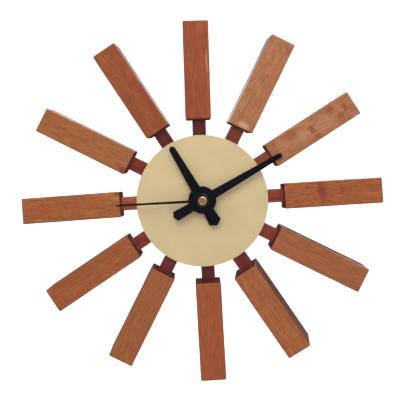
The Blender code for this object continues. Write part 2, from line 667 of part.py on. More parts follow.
def make_lid():
    """The lid over the gear room, with a boss for each rear pivot and a hole for the setting knob."""
    inside = CASE_HALF - CASE_WALL
    low_edge = GEAR_ROOM_BOTTOM + GAP
    high_edge = inside - GAP
    lid = prism(rectangle(-high_edge, high_edge, low_edge, high_edge), CASE_BACK_PLANE, LID_INSIDE)
    axes = [THIRD_AXIS, INTERMEDIATE_AXIS, ROTOR_AXIS, (0.0, 0.0)]
    half = LID_THICKNESS / 2
    bosses = [rod(BOSS_OUTER, CASE_BACK_PLANE + half, LID_BOSS_FRONT, centre=axis) for axis in axes]
    bores = [ARBOR_RADIUS + RUNNING if axis == axes[-1] else PIVOT_BORE for axis in axes]
    depths = (REAR_PIVOT - GAP, LID_BOSS_FRONT + OVERSHOOT)
    holes = [rod(bore, *depths, ARBOR_SIDES, axis) for bore, axis in zip(bores, axes)]
    holes.append(rod(KNOB_HOLE_RADIUS, CASE_BACK_PLANE - OVERSHOOT, depths[1], centre=KNOB_AXIS))
    solid("movement_lid", CASE_PLASTIC, [lid, *bosses], holes)


def make_middle_plate():
    """The plate between the rear and the front gears."""
    outline = rectangle(-PLATE_HALF_WIDTH, PLATE_HALF_WIDTH, *PLATE_HEIGHTS)
    past = (MIDDLE_PLATE_AT[0] - OVERSHOOT, MIDDLE_PLATE_AT[1] + OVERSHOOT)
    pivots = (THIRD_AXIS, INTERMEDIATE_AXIS, ROTOR_AXIS)
    holes = [rod(PIVOT_BORE, *past, ARBOR_SIDES, axis) for axis in pivots]
    holes.append(rod(PIPE_BORE, *past, ARBOR_SIDES))
    holes.append(rod(KNOB_HOLE_RADIUS, *past, centre=KNOB_AXIS))
    solid("middle_plate", WHITE_PLASTIC, [prism(outline, *MIDDLE_PLATE_AT)], holes)


def make_seconds_train():
    """The rotor, intermediate wheel, seconds wheel, third wheel and centre wheel, in mesh."""
    seconds_phase = 0.0
    pinion_phase = mesh_phase(SECONDS_WHEEL, seconds_phase, INTERMEDIATE_PINION, INTERMEDIATE_DIRECTION)
    wheel_phase = 0.0
    rotor_phase = mesh_phase(INTERMEDIATE_WHEEL, wheel_phase, ROTOR_PINION, ROTOR_DIRECTION)
    third_phase = mesh_phase(SECONDS_PINION, seconds_phase, THIRD_WHEEL, THIRD_DIRECTION)
    third_pinion_phase = mesh_phase(CENTRE_WHEEL, 0.0, CENTRE_PINION, THIRD_DIRECTION)
    solid("rotor", WHITE_PLASTIC,
          [rod(PIVOT_RADIUS, REAR_PIVOT, MIDDLE_PIVOT, ARBOR_SIDES),
           toothed(ROTOR_PINION, ROTOR_PINION_AT, rotor_phase),
           rod(MAGNET_RADIUS, *MAGNET_AT)],
          at=ROTOR_AXIS)
    solid("intermediate_wheel", WHITE_PLASTIC,
          [rod(PIVOT_RADIUS, REAR_PIVOT, MIDDLE_PIVOT, ARBOR_SIDES),
           toothed(INTERMEDIATE_WHEEL, INTERMEDIATE_WHEEL_AT, wheel_phase),
           toothed(INTERMEDIATE_PINION, INTERMEDIATE_PINION_AT, pinion_phase)],
          at=INTERMEDIATE_AXIS)
    solid("seconds_wheel", STEEL,
          [rod(ARBOR_RADIUS, REAR_PIVOT, ARBOR_FRONT, ARBOR_SIDES),
           toothed(SECONDS_WHEEL, SECONDS_WHEEL_AT, seconds_phase),
           toothed(SECONDS_PINION, SECONDS_PINION_AT, seconds_phase)])
    solid("third_wheel", WHITE_PLASTIC,
          [rod(PIVOT_RADIUS, REAR_PIVOT, THIRD_PIVOT, ARBOR_SIDES),
           toothed(THIRD_WHEEL, THIRD_WHEEL_AT, third_phase),
           toothed(CENTRE_PINION, CENTRE_PINION_AT, third_pinion_phase)],
          at=THIRD_AXIS)
    solid("centre_wheel", WHITE_PLASTIC,
          [toothed(CENTRE_WHEEL, CENTRE_WHEEL_AT), rod(CENTRE_HUB_RADIUS, *CENTRE_HUB_AT)],
          [rod(PIPE_BORE, CENTRE_HUB_AT[0] - OVERSHOOT, CENTRE_HUB_AT[1] + OVERSHOOT, ARBOR_SIDES)])


def make_motion_work():
    """The minute pipe, minute wheel, hour wheel and setting knob, in mesh."""
    wheel_phase = mesh_phase(CANNON_PINION, 0.0, MINUTE_WHEEL, MINUTE_WHEEL_DIRECTION)
    hour_phase = mesh_phase(MINUTE_PINION, 0.0, HOUR_WHEEL, MINUTE_WHEEL_DIRECTION + math.pi)
    knob_phase = mesh_phase(MINUTE_WHEEL, wheel_phase, KNOB_PINION, KNOB_DIRECTION)
    solid("minute_pipe", BRASS,
          [rod(MINUTE_PIPE_RADIUS, *MINUTE_PIPE), toothed(CANNON_PINION, CANNON_PINION_AT)],
          [rod(PIPE_BORE, MINUTE_PIPE[0] - OVERSHOOT, MINUTE_PIPE[1] + OVERSHOOT, ARBOR_SIDES)])
    solid("minute_wheel", WHITE_PLASTIC,
          [toothed(MINUTE_WHEEL, MINUTE_WHEEL_AT, wheel_phase), toothed(MINUTE_PINION, MINUTE_PINION_AT)],
          [rod(PIPE_BORE, MINUTE_WHEEL_AT[0] - OVERSHOOT, MINUTE_PINION_AT[1] + OVERSHOOT, ARBOR_SIDES)],
          at=MINUTE_WHEEL_AXIS)
    solid("hour_wheel", BRASS,
          [rod(HOUR_PIPE_RADIUS, *HOUR_PIPE), toothed(HOUR_WHEEL, HOUR_WHEEL_AT, hour_phase)],
          [rod(HOUR_PIPE_BORE, HOUR_PIPE[0] - OVERSHOOT, HOUR_PIPE[1] + OVERSHOOT)])
    radii = (KNOB_RADIUS, KNOB_RADIUS - KNOB_FLUTE_DEPTH)
    flutes = 2 * KNOB_FLUTES
    fluted = [polar(radii[step % 2], TURN * step / flutes) for step in range(flutes)]
    solid("setting_knob", WHITE_PLASTIC,
          [rod(KNOB_SHAFT_RADIUS, sum(KNOB_AT) / 2, KNOB_SHAFT_FRONT),
           prism(fluted, *KNOB_AT),
           toothed(KNOB_PINION, KNOB_PINION_AT, knob_phase)],
          at=KNOB_AXIS)


def stator_outline():
    """A U of sheet steel: a round pole piece at the rotor, and an arm to each end of the coil's core."""
    left_low, left_high = STATOR_SHOULDERS
    points = [(STATOR_LEFT[0], STATOR_TOP), (STATOR_LEFT[0], left_low)]
    points += arc(STATOR_POLE_RADIUS, math.pi, TURN, STATOR_POLE_STEPS, ROTOR_AXIS)
    points += [(STATOR_RIGHT[1], ROTOR_AXIS[1] + STATOR_HOLE_RADIUS), (STATOR_RIGHT[1], STATOR_TOP)]
    points += [(STATOR_RIGHT[0], STATOR_TOP), (STATOR_RIGHT[0], STATOR_YOKE_TOP)]
    points += [(ROTOR_AXIS[0] - STATOR_POLE_RADIUS, STATOR_YOKE_TOP)]
    points += [(STATOR_LEFT[1], left_high), (STATOR_LEFT[1], STATOR_TOP)]
    return points


def make_motor():
    """The stator, and the coil on its bobbin and core."""
    hole = rod(STATOR_HOLE_RADIUS, STATOR_AT[0] - OVERSHOOT, STATOR_AT[1] + OVERSHOOT, centre=ROTOR_AXIS)
    solid("stator", STEEL, [prism(stator_outline(), *STATOR_AT)], [hole])
    solid("coil_core", STEEL, [lying(rod(CORE_RADIUS, *CORE_ENDS, ARBOR_SIDES), COIL_HEIGHT, COIL_DEPTH)])
    low, high = BOBBIN_ENDS
    spool = [
        (BOBBIN_BORE, low),
        (BOBBIN_FLANGE_RADIUS, low),
        (BOBBIN_FLANGE_RADIUS, low + BOBBIN_FLANGE),
        (BOBBIN_RADIUS, low + BOBBIN_FLANGE),
        (BOBBIN_RADIUS, high - BOBBIN_FLANGE),
        (BOBBIN_FLANGE_RADIUS, high - BOBBIN_FLANGE),
        (BOBBIN_FLANGE_RADIUS, high),
        (BOBBIN_BORE, high),
    ]
    solid("coil_bobbin", WHITE_PLASTIC, [lying(turned(spool, ring=True), COIL_HEIGHT, COIL_DEPTH)])
    edge = BOBBIN_FLANGE + GAP
    winding = tube(COIL_RADIUS, BOBBIN_RADIUS + RUNNING, low + edge, high - edge)
    solid("coil", COPPER, [lying(winding, COIL_HEIGHT, COIL_DEPTH)])


def make_electronics():
    """The circuit board with its chip and quartz crystal, the battery and its two contacts."""
    board = rectangle(-BOARD_HALF_WIDTH, BOARD_HALF_WIDTH, *BOARD_HEIGHTS)
    solid("circuit_board", BOARD, [prism(board, *BOARD_AT)])
    solid("chip", RESIN, [rod(CHIP_RADIUS, *CHIP_DEPTHS, centre=CHIP_AT)])
    can = rod(CRYSTAL_RADIUS, *CRYSTAL_ENDS, ARBOR_SIDES)
    solid("quartz_crystal", STEEL, [lying(can, CHIP_AT[1], CRYSTAL_DEPTH)])
    low, high = BATTERY_ENDS
    cell = [
        (0.0, low),
        (BATTERY_RADIUS - BATTERY_EDGE, low),
        (BATTERY_RADIUS, low + BATTERY_EDGE),
        (BATTERY_RADIUS, high - BATTERY_EDGE),
        (BATTERY_RADIUS - BATTERY_EDGE, high),
        (BATTERY_NUB_RADIUS, high),
        (BATTERY_NUB_RADIUS, BATTERY_NUB_END),
        (0.0, BATTERY_NUB_END),
    ]
    solid("battery", BATTERY_SLEEVE, [lying(turned(cell, NUT_SIDES), BATTERY_HEIGHT, BATTERY_DEPTH)])
    heights = (BATTERY_HEIGHT - CONTACT_HALF, BATTERY_HEIGHT + CONTACT_HALF)
    depths = (BATTERY_DEPTH - CONTACT_HALF, BATTERY_DEPTH + CONTACT_HALF)
    for name, side in (("contact_minus", -1), ("contact_plus", 1)):
        edges = sorted((side * CONTACT_X, side * (CONTACT_X + CONTACT_THICKNESS)))
        solid(name, STEEL, [prism(rectangle(*edges, *heights), *depths)])


def make_hanger():
    """The keyhole plate and the two countersunk screws that hold it in the hub's back."""
    through = (HANGER_AT[0] - OVERSHOOT, HANGER_AT[1] + OVERSHOOT)
    eye = rod(KEYHOLE_RADIUS, *through, centre=(0.0, KEYHOLE_HEIGHT))
    lane = arc(KEYSLOT_RADIUS, 0.0, math.pi, 2 * CORNER_STEPS, (0.0, KEYSLOT_TOP))
    lane += [(-KEYSLOT_RADIUS, KEYHOLE_HEIGHT), (KEYSLOT_RADIUS, KEYHOLE_HEIGHT)]
    plate = prism(stadium(HANGER_HALF_LENGTH, HANGER_RADIUS - GAP, HANGER_HEIGHT), *HANGER_AT)
    wide = SCREW_HEAD_RADIUS + GAP
    sink_profile = [(0.0, -OVERSHOOT), (wide, -OVERSHOOT), (wide, HANGER_AT[0])]
    sink_profile += [(SCREW_SHANK_RADIUS + GAP, SCREW_NECK), (0.0, SCREW_NECK)]
    sinks = []
    for side in (-1, 1):
        sink = turned(sink_profile)
        bmesh.ops.translate(sink, verts=sink.verts, vec=(side * HANGER_HALF_LENGTH, 0.0, HANGER_HEIGHT))
        sinks.append(sink)
    solid("hanger_plate", STEEL, [plate], [eye, prism(lane, *through), *sinks], at=HUB_CENTRE)
    screw = [(0.0, HANGER_AT[0]), (SCREW_HEAD_RADIUS, HANGER_AT[0]), (SCREW_SHANK_RADIUS, SCREW_NECK)]
    screw += [(SCREW_SHANK_RADIUS, SCREW_TIP - 2 * SCREW_SHANK_RADIUS), (0.0, SCREW_TIP)]
    slot = rectangle(-wide, wide, -SCREW_SLOT, SCREW_SLOT)
    for name, side in (("hanger_screw_left", -1), ("hanger_screw_right", 1)):
        cut = prism(slot, -OVERSHOOT, HANGER_AT[0] + SCREW_SLOT_DEPTH)
        solid(name, STEEL, [turned(screw)], [cut], at=(side * HANGER_HALF_LENGTH, HANGER_HEIGHT - HUB_DROP))


def main():
    """Clears the scene and builds the clock."""
    for thing in list(bpy.data.objects):
        bpy.data.objects.remove(thing)
    make_spokes()
    make_hub()
    make_dial()
    make_hands()
    make_fixing()
    make_case()
    make_lid()
    make_middle_plate()
    make_seconds_train()
    make_motion_work()
    make_motor()
    make_electronics()
    make_hanger()


main()
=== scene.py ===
"""Looks of the sunburst wall clock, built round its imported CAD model.

Everything is in metres in the CAD frame: the clock faces -Y, 12 o'clock is towards +Z, and the hands turn
about the Y axis through the origin. Wooden spokes, dial, boss, nuts, bushing and battery are built again here
with finer surfaces than the CAD solids have. The other CAD nodes keep their shapes, with softened edges and
better materials, and the movement's lid gets raised mouldings.
"""

import json
import math
from collections import namedtuple

import bmesh
import bpy
from mathutils import Matrix, Vector, noise


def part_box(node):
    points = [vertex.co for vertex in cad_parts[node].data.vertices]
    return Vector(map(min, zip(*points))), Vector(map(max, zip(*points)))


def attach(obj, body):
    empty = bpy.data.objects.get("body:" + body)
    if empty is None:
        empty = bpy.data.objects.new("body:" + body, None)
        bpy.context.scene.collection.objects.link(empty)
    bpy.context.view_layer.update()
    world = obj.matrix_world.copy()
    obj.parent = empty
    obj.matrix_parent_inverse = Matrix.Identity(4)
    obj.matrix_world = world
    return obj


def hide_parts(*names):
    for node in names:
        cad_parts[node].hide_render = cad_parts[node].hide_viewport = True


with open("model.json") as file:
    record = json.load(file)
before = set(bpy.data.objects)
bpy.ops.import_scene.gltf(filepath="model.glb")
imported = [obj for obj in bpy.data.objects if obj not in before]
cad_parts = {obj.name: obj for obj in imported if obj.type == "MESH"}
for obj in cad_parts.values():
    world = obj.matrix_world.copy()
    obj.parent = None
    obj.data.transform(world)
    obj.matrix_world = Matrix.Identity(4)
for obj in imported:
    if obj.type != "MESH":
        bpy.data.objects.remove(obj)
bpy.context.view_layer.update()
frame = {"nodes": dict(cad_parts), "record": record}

MM = 0.001
TURN = 2 * math.pi
NODES = frame["nodes"]
BODY_OF = {node: body for body, nodes in frame["record"]["behaviour"]["bodies"].items() for node in nodes}
SLOT_OF = {row["node"]: row["material_slot"] for row in frame["record"]["subparts"]}

# Spokes
BLOCK_EDGE = 1.0 * MM
BLOCK_EDGE_STEPS = 4
NECK_EDGE = 0.5 * MM
NECK_EDGE_STEPS = 2
LOOP_SPACING = 4.0 * MM
HAND_FINISH = 0.09 * MM
HAND_FINISH_SIZE = 14.0 * MM
HAND_FINISH_SEED = 1

# How many sides round pieces have
DIAL_SIDES = 256
FINE_SIDES = 96
CELL_SIDES = 64
THREAD_SIDES = 48

# Mouldings on the movement's lid
MOULDING_HEIGHT = 0.5 * MM
MOULDING_ROOT = 0.2 * MM
MOULDING_WIDTH = 1.0 * MM
MOULDING_EDGE = 0.2 * MM
MOULDING_EDGE_STEPS = 2
MOULDING_MARGIN = 4.0 * MM
FRAME_BOTTOM = 6.0 * MM
FRAME_CORNER = 2.0 * MM
RIBS = 5
COLLAR_GAP = 1.4 * MM

# CAD nodes that keep their shape
NODE_BEVEL = 0.12 * MM
NODE_SHARP = math.radians(35)

Wood = namedtuple("Wood", "tone neck haze mottle streaks marks")
Mark = namedtuple("Mark", "across along size stretch strength tone")
RED = (132, 44, 32)
# Pale: painted highlights on blocks 1 and 12, and pale patches on block 2 that are partly painted sheen
PALE_PATCH_AND_HIGHLIGHT = (214, 170, 140)
DARK = (96, 40, 26)
AMBER = (138, 58, 28)
HAZE_AND_SHEEN = (196, 146, 118)
# Painted shade for the spokes' long sides
SIDE_SHADE = (84, 38, 26)
SOAKED_LINE = (60, 14, 16)
SOAKED_FIBRE = (40, 12, 12)
END_GRAIN = (92, 36, 30)
END_RING = (62, 22, 20)

# Each spoke's wood, by hour: the tones of its block and neck in sRGB, how hazy, mottled and streaked it is,
# and its marks. The neck tones are partly stain and partly painted shade of the recessed necks, and the pale
# haze is partly the wood's figure and partly painted sheen. A mark lies across and along the block, in mm
# from the middle and from the inner end, has a size in mm, and is stretched along the grain.
WOODS = {
    # Blocks 1 and 2 are lighter and paler partly as a painted sheen on their faces, besides the wood's own
    # tone
    1: Wood((168, 110, 68), (112, 42, 20), 0.15, 0.8, 0.5, [
        # A painted highlight on the inner front edge
        Mark(0, 3, 5, 0.5, 0.5, PALE_PATCH_AND_HIGHLIGHT),
        Mark(6, 70, 4, 1, 0.3, RED),
    ]),
    2: Wood((164, 104, 62), (160, 78, 50), 0.55, 1.0, 0.6, [
        # Pale patches: partly the wood's figure, partly painted sheen
        Mark(0, 28, 6, 1.6, 0.16, PALE_PATCH_AND_HIGHLIGHT),
        Mark(1, 47, 8, 1.6, 0.14, PALE_PATCH_AND_HIGHLIGHT),
        Mark(-2, 37, 5, 0.7, 0.8, AMBER),
        Mark(5, 39, 4, 1.0, 0.6, AMBER),
        Mark(-5, 22, 5, 1.0, 0.4, AMBER),
        Mark(-5, 57, 4, 0.8, 0.6, AMBER),
        Mark(3, 62, 4, 0.8, 0.5, AMBER),
        Mark(-2, 68, 3, 0.8, 0.5, AMBER),
    ]),
    3: Wood((160, 86, 42), (138, 55, 35), 0.0, 0.9, 0.9, [
        Mark(-5, 28, 5, 0.8, 0.7, RED),
        Mark(2, 29, 9, 0.3, 0.6, RED),
        Mark(-1, 45, 3, 0.8, 0.6, RED),
    ]),
    4: Wood((158, 90, 50), (150, 60, 42), 0.0, 0.3, 0.3, []),
    5: Wood((164, 95, 52), (125, 32, 30), 0.0, 0.6, 0.6, []),
    6: Wood((158, 80, 38), (85, 15, 16), 0.0, 0.2, 0.4, []),
    7: Wood((156, 90, 48), (102, 30, 28), 0.0, 0.45, 0.5, []),
    8: Wood((156, 85, 42), (125, 45, 28), 0.0, 0.4, 0.6, []),
    9: Wood((158, 92, 46), (165, 80, 50), 0.0, 1.0, 1.4, []),
    10: Wood((156, 92, 46), (118, 36, 20), 0.05, 0.4, 0.4, [Mark(-7, 2.5, 4, 1, 0.8, RED)]),
    11: Wood((145, 74, 30), (94, 18, 18), 0.0, 0.6, 1.2, [Mark(7, 30, 4, 8, 0.35, RED)]),
    12: Wood((148, 70, 26), (84, 14, 16), 0.0, 0.4, 0.9, [
        # A pale streak on the right edge: partly pale specks, partly a painted glint
        Mark(7.8, 42, 0.9, 14, 0.35, PALE_PATCH_AND_HIGHLIGHT),
        Mark(-8, 20, 4, 9, 0.4, RED),
    ]),
}

# The sky: how bright it is at each height, as the sine of the angle above the horizon. The first two stops
# are its ends. A front dip lowers each height towards the front.
SKY = [(-1.0, 0.6), (1.0, 0.6), (-0.2, 0.6), (-0.1, 0.06), (0.05, 0.08), (0.13, 0.45), (0.3, 0.6)]
FRONT_DIP = 0.3

# Surroundings: a floor that sweeps up behind the clock, and a round wall
FLOOR_HALF = 12.0
FLOOR_HEIGHT = -0.9
FLOOR_END = 6.0
FLOOR_SWEEP = 2.0
FLOOR_STEPS = 16
FLOOR_GLOW = 0.8
WALL_REACH = 8.0
WALL_HEIGHT = 24.0
WALL_SIDES = 96
WALL_GLOW = 1.0

# Lamps aim at the origin, and each is hidden from the rays named last
Lamp = namedtuple("Lamp", "name power size place hidden")
LAMPS = [
    Lamp("key", 2.05, 0.3, (-0.08, -0.6, 0.32), ["glossy"]),
    Lamp("fill", 4.7, 1.2, (0.3, -1.45, 0.1), ["glossy"]),
    Lamp("top", 24.0, 0.65, (0.2, 0.05, 1.0), ["camera", "diffuse"]),
    Lamp("side", 9.0, 0.4, (0.8, 0.0, 0.6), ["camera", "diffuse"]),
    Lamp("rear", 6.0, 1.0, (0.0, 1.4, 0.0), ["camera", "glossy"]),
    Lamp("rim", 1.8, 1.6, (0.0, 2.5, 0.5), ["camera", "diffuse"]),
]
RIM_TONE = (1.0, 0.84, 0.7)
RIM_HEIGHT = 0.35

# Camera: turned a little about its view, and above the clock's middle, partly by tilt and partly by shift
CAMERA_DISTANCE = 0.52
CAMERA_TILT = math.radians(0.9)
CAMERA_RISE = 25.9 * MM
CAMERA_ROLL = math.radians(-3.2)
CAMERA_LENS = 60.1
CAMERA_AIM = Vector((-1.85 * MM, -26.5 * MM, 0.2 * MM))
CAMERA_CLIP = (0.01, 60.0)


def linear(channel):
    """One sRGB channel, 0 to 255, as a linear value."""
    share = channel / 255
    return share / 12.92 if share <= 0.04045 else ((share + 0.055) / 1.055) ** 2.4


def colour(srgb, gain=1.0):
    """A shader colour from sRGB, made lighter or darker by a gain on its linear values."""
    return (*(min(1.0, linear(channel) * gain) for channel in srgb), 1.0)


class Shader:
    """A material under construction: adds nodes, and feeds sockets with numbers or other sockets."""

    def __init__(self, name):
        self.material = bpy.data.materials.new(name)
        self.material.use_nodes = True
        self.tree = self.material.node_tree
        self.surface = self.tree.nodes["Principled BSDF"]
        self.here = self.add("ShaderNodeTexCoord").outputs["Object"]

    def feed(self, socket, value):
        """Links a socket to another, or gives it a number or colour."""
        if isinstance(value, bpy.types.NodeSocket):
            self.tree.links.new(value, socket)
        else:
            socket.default_value = value

    def add(self, kind, inputs=(), **settings):
        """A node of a kind, with its inputs by name or number and its other settings."""
        node = self.tree.nodes.new(kind)
        for key, value in settings.items():
            setattr(node, key, value)
        for key, value in dict(inputs).items():
            self.feed(node.inputs[key], value)
        return node

    def set(self, **values):
        """Sets the Principled sockets, named with underscores for spaces."""
        for key, value in values.items():
            self.feed(self.surface.inputs[key.replace("_", " ")], value)

    def math(self, operation, *values):
        return self.add("ShaderNodeMath", dict(enumerate(values)), operation=operation).outputs[0]

    def mix(self, share, one, other, blend="MIX"):
        """one where share is 0, other where it is 1, blended as colours."""
        node = self.add("ShaderNodeMix", {0: share, 6: one, 7: other}, data_type="RGBA", blend_type=blend)
        return node.outputs[2]

    def span(self, value, low, high, to_low=0.0, to_high=1.0):
        """value, from low..high to to_low..to_high, smoothly and within those ends."""
        inputs = {"Value": value, "From Min": low, "From Max": high, "To Min": to_low, "To Max": to_high}
        return self.add("ShaderNodeMapRange", inputs, interpolation_type="SMOOTHSTEP").outputs[0]

    def stretched(self, scale, shift=(0.0, 0.0, 0.0)):
        """The point on the surface, moved and scaled along each axis."""
        inputs = {"Vector": self.here, "Location": shift, "Scale": scale}
        return self.add("ShaderNodeMapping", inputs).outputs[0]

    def noise(self, size, detail=2.0, roughness=0.5, where=None, distortion=0.0):
        """Noise, about 0.5, whose features are as large as size in metres."""
        inputs = {
            "Vector": self.here if where is None else where,
            "Scale": 1.0 / size,
            "Detail": detail,
            "Roughness": roughness,
            "Distortion": distortion,
        }
        return self.add("ShaderNodeTexNoise", inputs).outputs["Fac"]

    def bump(self, *heights):
        """Presses (height, depth in metres) pairs into the surface."""
        normal = None
        for height, depth in heights:
            inputs = {"Height": height, "Distance": depth, "Strength": 1.0}
            if normal is not None:
                inputs["Normal"] = normal
            normal = self.add("ShaderNodeBump", inputs).outputs[0]
        self.set(Normal=normal)


# --- materials --------------------------------------------------------------------------------------------


def mark_share(s, mark, ragged):
    """How much of a mark is at each point: 1 in its middle, 0 beyond its ragged outline."""
    size = mark.size * MM
    scale = (1.0 / size, 0.0, 1.0 / (size * mark.stretch))
    shift = (-mark.across * MM * scale[0], 0.0, -mark.along * MM * scale[2])
    reach = s.add("ShaderNodeVectorMath", {0: s.stretched(scale, shift)}, operation="LENGTH").outputs["Value"]
    edge = s.math("ADD", reach, s.math("MULTIPLY", s.math("SUBTRACT", ragged, 0.5), 3.6))
    return s.math("MULTIPLY", s.span(edge, 1.15, 0.35), mark.strength)


def timber(name, wood, seed=0, is_spoke=True):
    """Stained and lacquered wood, its grain along local Z.

    A spoke's ends take the stain darker. Its sides are darkened as painted shade, and its neck's darker tone
    is partly stain and partly painted shade of its recess. The seed gives each piece its own grain.
    """
    s = Shader(name)
    tone = wood.tone
    shift = (0.037 * seed, 0.011 * seed, 0.053 * seed)
    pith = (0.031 + 0.004 * (seed % 5), 0.024 - 0.003 * (seed % 7), 0.0)
    rings = s.add(
        "ShaderNodeTexWave",
        {
            "Vector": s.stretched((1.0, 1.0, 0.12), pith),
            "Scale": 115.0,
            "Distortion": 5.0,
            "Detail": 3.0,
            "Detail Scale": 1.2,
            "Detail Roughness": 0.6,
        },
        wave_type="RINGS",
        rings_direction="Z",
        wave_profile="SAW",
    ).outputs["Fac"]
    fibre = s.noise(0.4 * MM, 4.0, 0.6, s.stretched((1.0, 1.0, 0.04), shift))
    streak = s.noise(1.8 * MM, 4.0, 0.6, s.stretched((1.0, 1.0, 0.06), shift))
    band = s.noise(7.0 * MM, 2.0, 0.5, s.stretched((1.0, 1.0, 0.18), shift))
    fleck = s.noise(0.8 * MM, 2.0, 0.5, s.stretched((1.0, 0.6, 0.2), shift))
    cloud = s.noise(11.0 * MM, 3.0, 0.6, s.stretched((1.0, 1.0, 0.65), shift), 0.8)
    speckle = s.noise(2.2 * MM, 4.0, 0.65, s.stretched((1.0, 1.0, 0.5), shift))
    line = s.noise(0.9 * MM, 3.0, 0.65, s.stretched((1.0, 1.0, 0.1), shift))

    swing = 0.14 * wood.streaks
    base = s.mix(s.span(streak, 0.3, 0.7), colour(tone, 1.0 - swing), colour(tone, 1.04 + swing))
    grain = s.mix(s.span(line, 0.32, 0.68), colour(tone, 0.45), colour(tone, 1.6))
    base = s.mix(0.3 + 0.25 * wood.streaks, base, grain)
    ruddy = (tone[0] * 0.97, tone[1] * 0.86, tone[2] * 0.82)
    layers = [
        (s.span(band, 0.42, 0.62), 0.5 * wood.streaks, colour(ruddy)),
        (rings, 0.1, colour(DARK)),
        # Pale pinkish clouds: partly the wood's figure, partly a painted sheen
        (s.span(cloud, 0.48, 0.66), 0.6 * wood.haze, colour(HAZE_AND_SHEEN)),
        (s.span(cloud, 0.44, 0.34), 0.5 * wood.mottle, colour(tone, 0.84)),
        (s.span(speckle, 0.56, 0.7), 0.5 * wood.mottle, colour(tone, 1.4)),
        (s.span(speckle, 0.46, 0.34), 0.85 * wood.mottle, colour(ruddy, 0.7)),
        (s.span(fibre, 0.4, 0.64), 0.14, colour(DARK)),
        (s.span(fleck, 0.64, 0.74), 0.45, colour(DARK)),
    ]
    for place, strength, layer in layers:
        base = s.mix(s.math("MULTIPLY", place, strength), base, layer)
    for mark in wood.marks:
        base = s.mix(mark_share(s, mark, s.mix(0.45, cloud, speckle)), base, colour(mark.tone))

    if is_spoke:
        facing = s.add("ShaderNodeSeparateXYZ", {0: s.add("ShaderNodeTexCoord").outputs["Normal"]}).outputs
        along = s.add("ShaderNodeSeparateXYZ", {0: s.here}).outputs["Z"]
        # Painted shade: the long sides are darkened towards a dark brown, for the shade on their grazing
        # faces
        side = s.span(s.math("ABSOLUTE", facing["X"]), 0.75, 0.98)
        base = s.mix(s.math("MULTIPLY", side, 0.45), base, colour(SIDE_SHADE))
        neck = s.span(along, 0.3 * MM, -0.6 * MM)
        # The neck's darker tone is partly stain and partly painted shade of its recess behind the dial and
        # blocks
        neck_stain_and_shade = s.mix(s.span(band, 0.4, 0.6), colour(wood.neck, 0.85), colour(wood.neck, 1.35))
        neck_stain_and_shade = s.mix(s.span(line, 0.4, 0.7, 0.0, 0.35), neck_stain_and_shade, colour(SOAKED_LINE))
        neck_stain_and_shade = s.mix(s.math("MULTIPLY", s.span(fibre, 0.35, 0.65), 0.2), neck_stain_and_shade, colour(SOAKED_FIBRE))
        base = s.mix(s.math("MULTIPLY", neck, 0.98), base, neck_stain_and_shade)
        end = s.span(s.math("ABSOLUTE", facing["Z"]), 0.6, 0.9)
        end_grain = s.mix(rings, colour(END_GRAIN), colour(END_RING))
        base = s.mix(s.math("MULTIPLY", end, 0.92), base, end_grain)
        lacquer = s.math("ADD", s.span(end, 0.0, 1.0, 0.25, 0.0), s.math("MULTIPLY", side, 0.15))
        s.set(Coat_Weight=lacquer, Specular_IOR_Level=0.25)
    s.set(Base_Color=base)

    smears = s.noise(9.0 * MM, 3.0, 0.6, None)
    rough = s.span(s.math("ADD", smears, s.math("MULTIPLY", fibre, 0.25)), 0.4, 0.9, 0.34, 0.54)
    if is_spoke:
        rough = s.math("ADD", rough, s.math("MULTIPLY", end, 0.35))
    s.set(Roughness=rough, Coat_Roughness=0.2)
    peel = s.noise(1.2 * MM, 2.0, 0.5)
    s.bump((fibre, 0.05 * MM), (fleck, -0.04 * MM), (peel, 0.03 * MM))
    return s.material


def painted(name, srgb, roughness, peel=0.02 * MM, spread=0.04, shine=0.5):
    """Smooth paint with orange peel, faint clouding and fine dust."""
    s = Shader(name)
    cloud = s.noise(22.0 * MM, 3.0, 0.5)
    dust = s.noise(0.35 * MM, 2.0, 0.5)
    base = s.mix(s.span(cloud, 0.3, 0.7), colour(srgb, 1.0 - spread), colour(srgb, 1.0 + spread))
    base = s.mix(s.math("MULTIPLY", s.span(dust, 0.72, 0.8), 0.04), base, colour((150, 140, 125)))
    s.set(Base_Color=base, Roughness=s.span(cloud, 0.3, 0.7, roughness - 0.05, roughness + 0.05))
    s.set(Specular_IOR_Level=shine)
    s.bump((s.noise(0.9 * MM, 2.0), peel), (dust, 0.25 * peel))
    return s.material


def metal(name, srgb, roughness, dull, lay="turned", dish=None):
    """Bare metal with fine tool marks: turned round the Y axis, or brushed along X.

    Dull is its tarnish. Where a dish radius is given, dull also fills the middle out to it, so the paler
    metal left round it is a painted highlight on the rim.
    """
    s = Shader(name)
    if lay == "turned":
        marks = s.add(
            "ShaderNodeTexWave",
            {"Vector": s.here, "Scale": 1400.0, "Distortion": 2.0, "Detail": 2.0, "Detail Scale": 3.0},
            wave_type="RINGS",
            rings_direction="Y",
        ).outputs["Fac"]
    else:
        marks = s.noise(0.25 * MM, 3.0, 0.6, s.stretched((0.02, 1.0, 1.0)))
    stain = s.noise(3.0 * MM, 4.0, 0.6)
    base = s.mix(s.span(stain, 0.45, 0.72), colour(srgb), colour(dull))
    base = s.mix(s.math("MULTIPLY", marks, 0.12), base, colour(dull, 0.7))
    # The paler metal left outside the dish is a painted highlight on the rim
    if dish:
        flat = s.stretched((1.0, 0.0, 1.0))
        reach = s.add("ShaderNodeVectorMath", {0: flat}, operation="LENGTH").outputs["Value"]
        base = s.mix(s.span(reach, dish, 0.7 * dish, 0.0, 0.85), base, colour(dull))
    s.set(Base_Color=base, Metallic=1.0)
    worn = s.math("ADD", stain, s.math("MULTIPLY", marks, 0.2))
    s.set(Roughness=s.span(worn, 0.4, 0.9, roughness, roughness + 0.2))
    s.bump((marks, 0.008 * MM), (stain, 0.01 * MM))
    return s.material


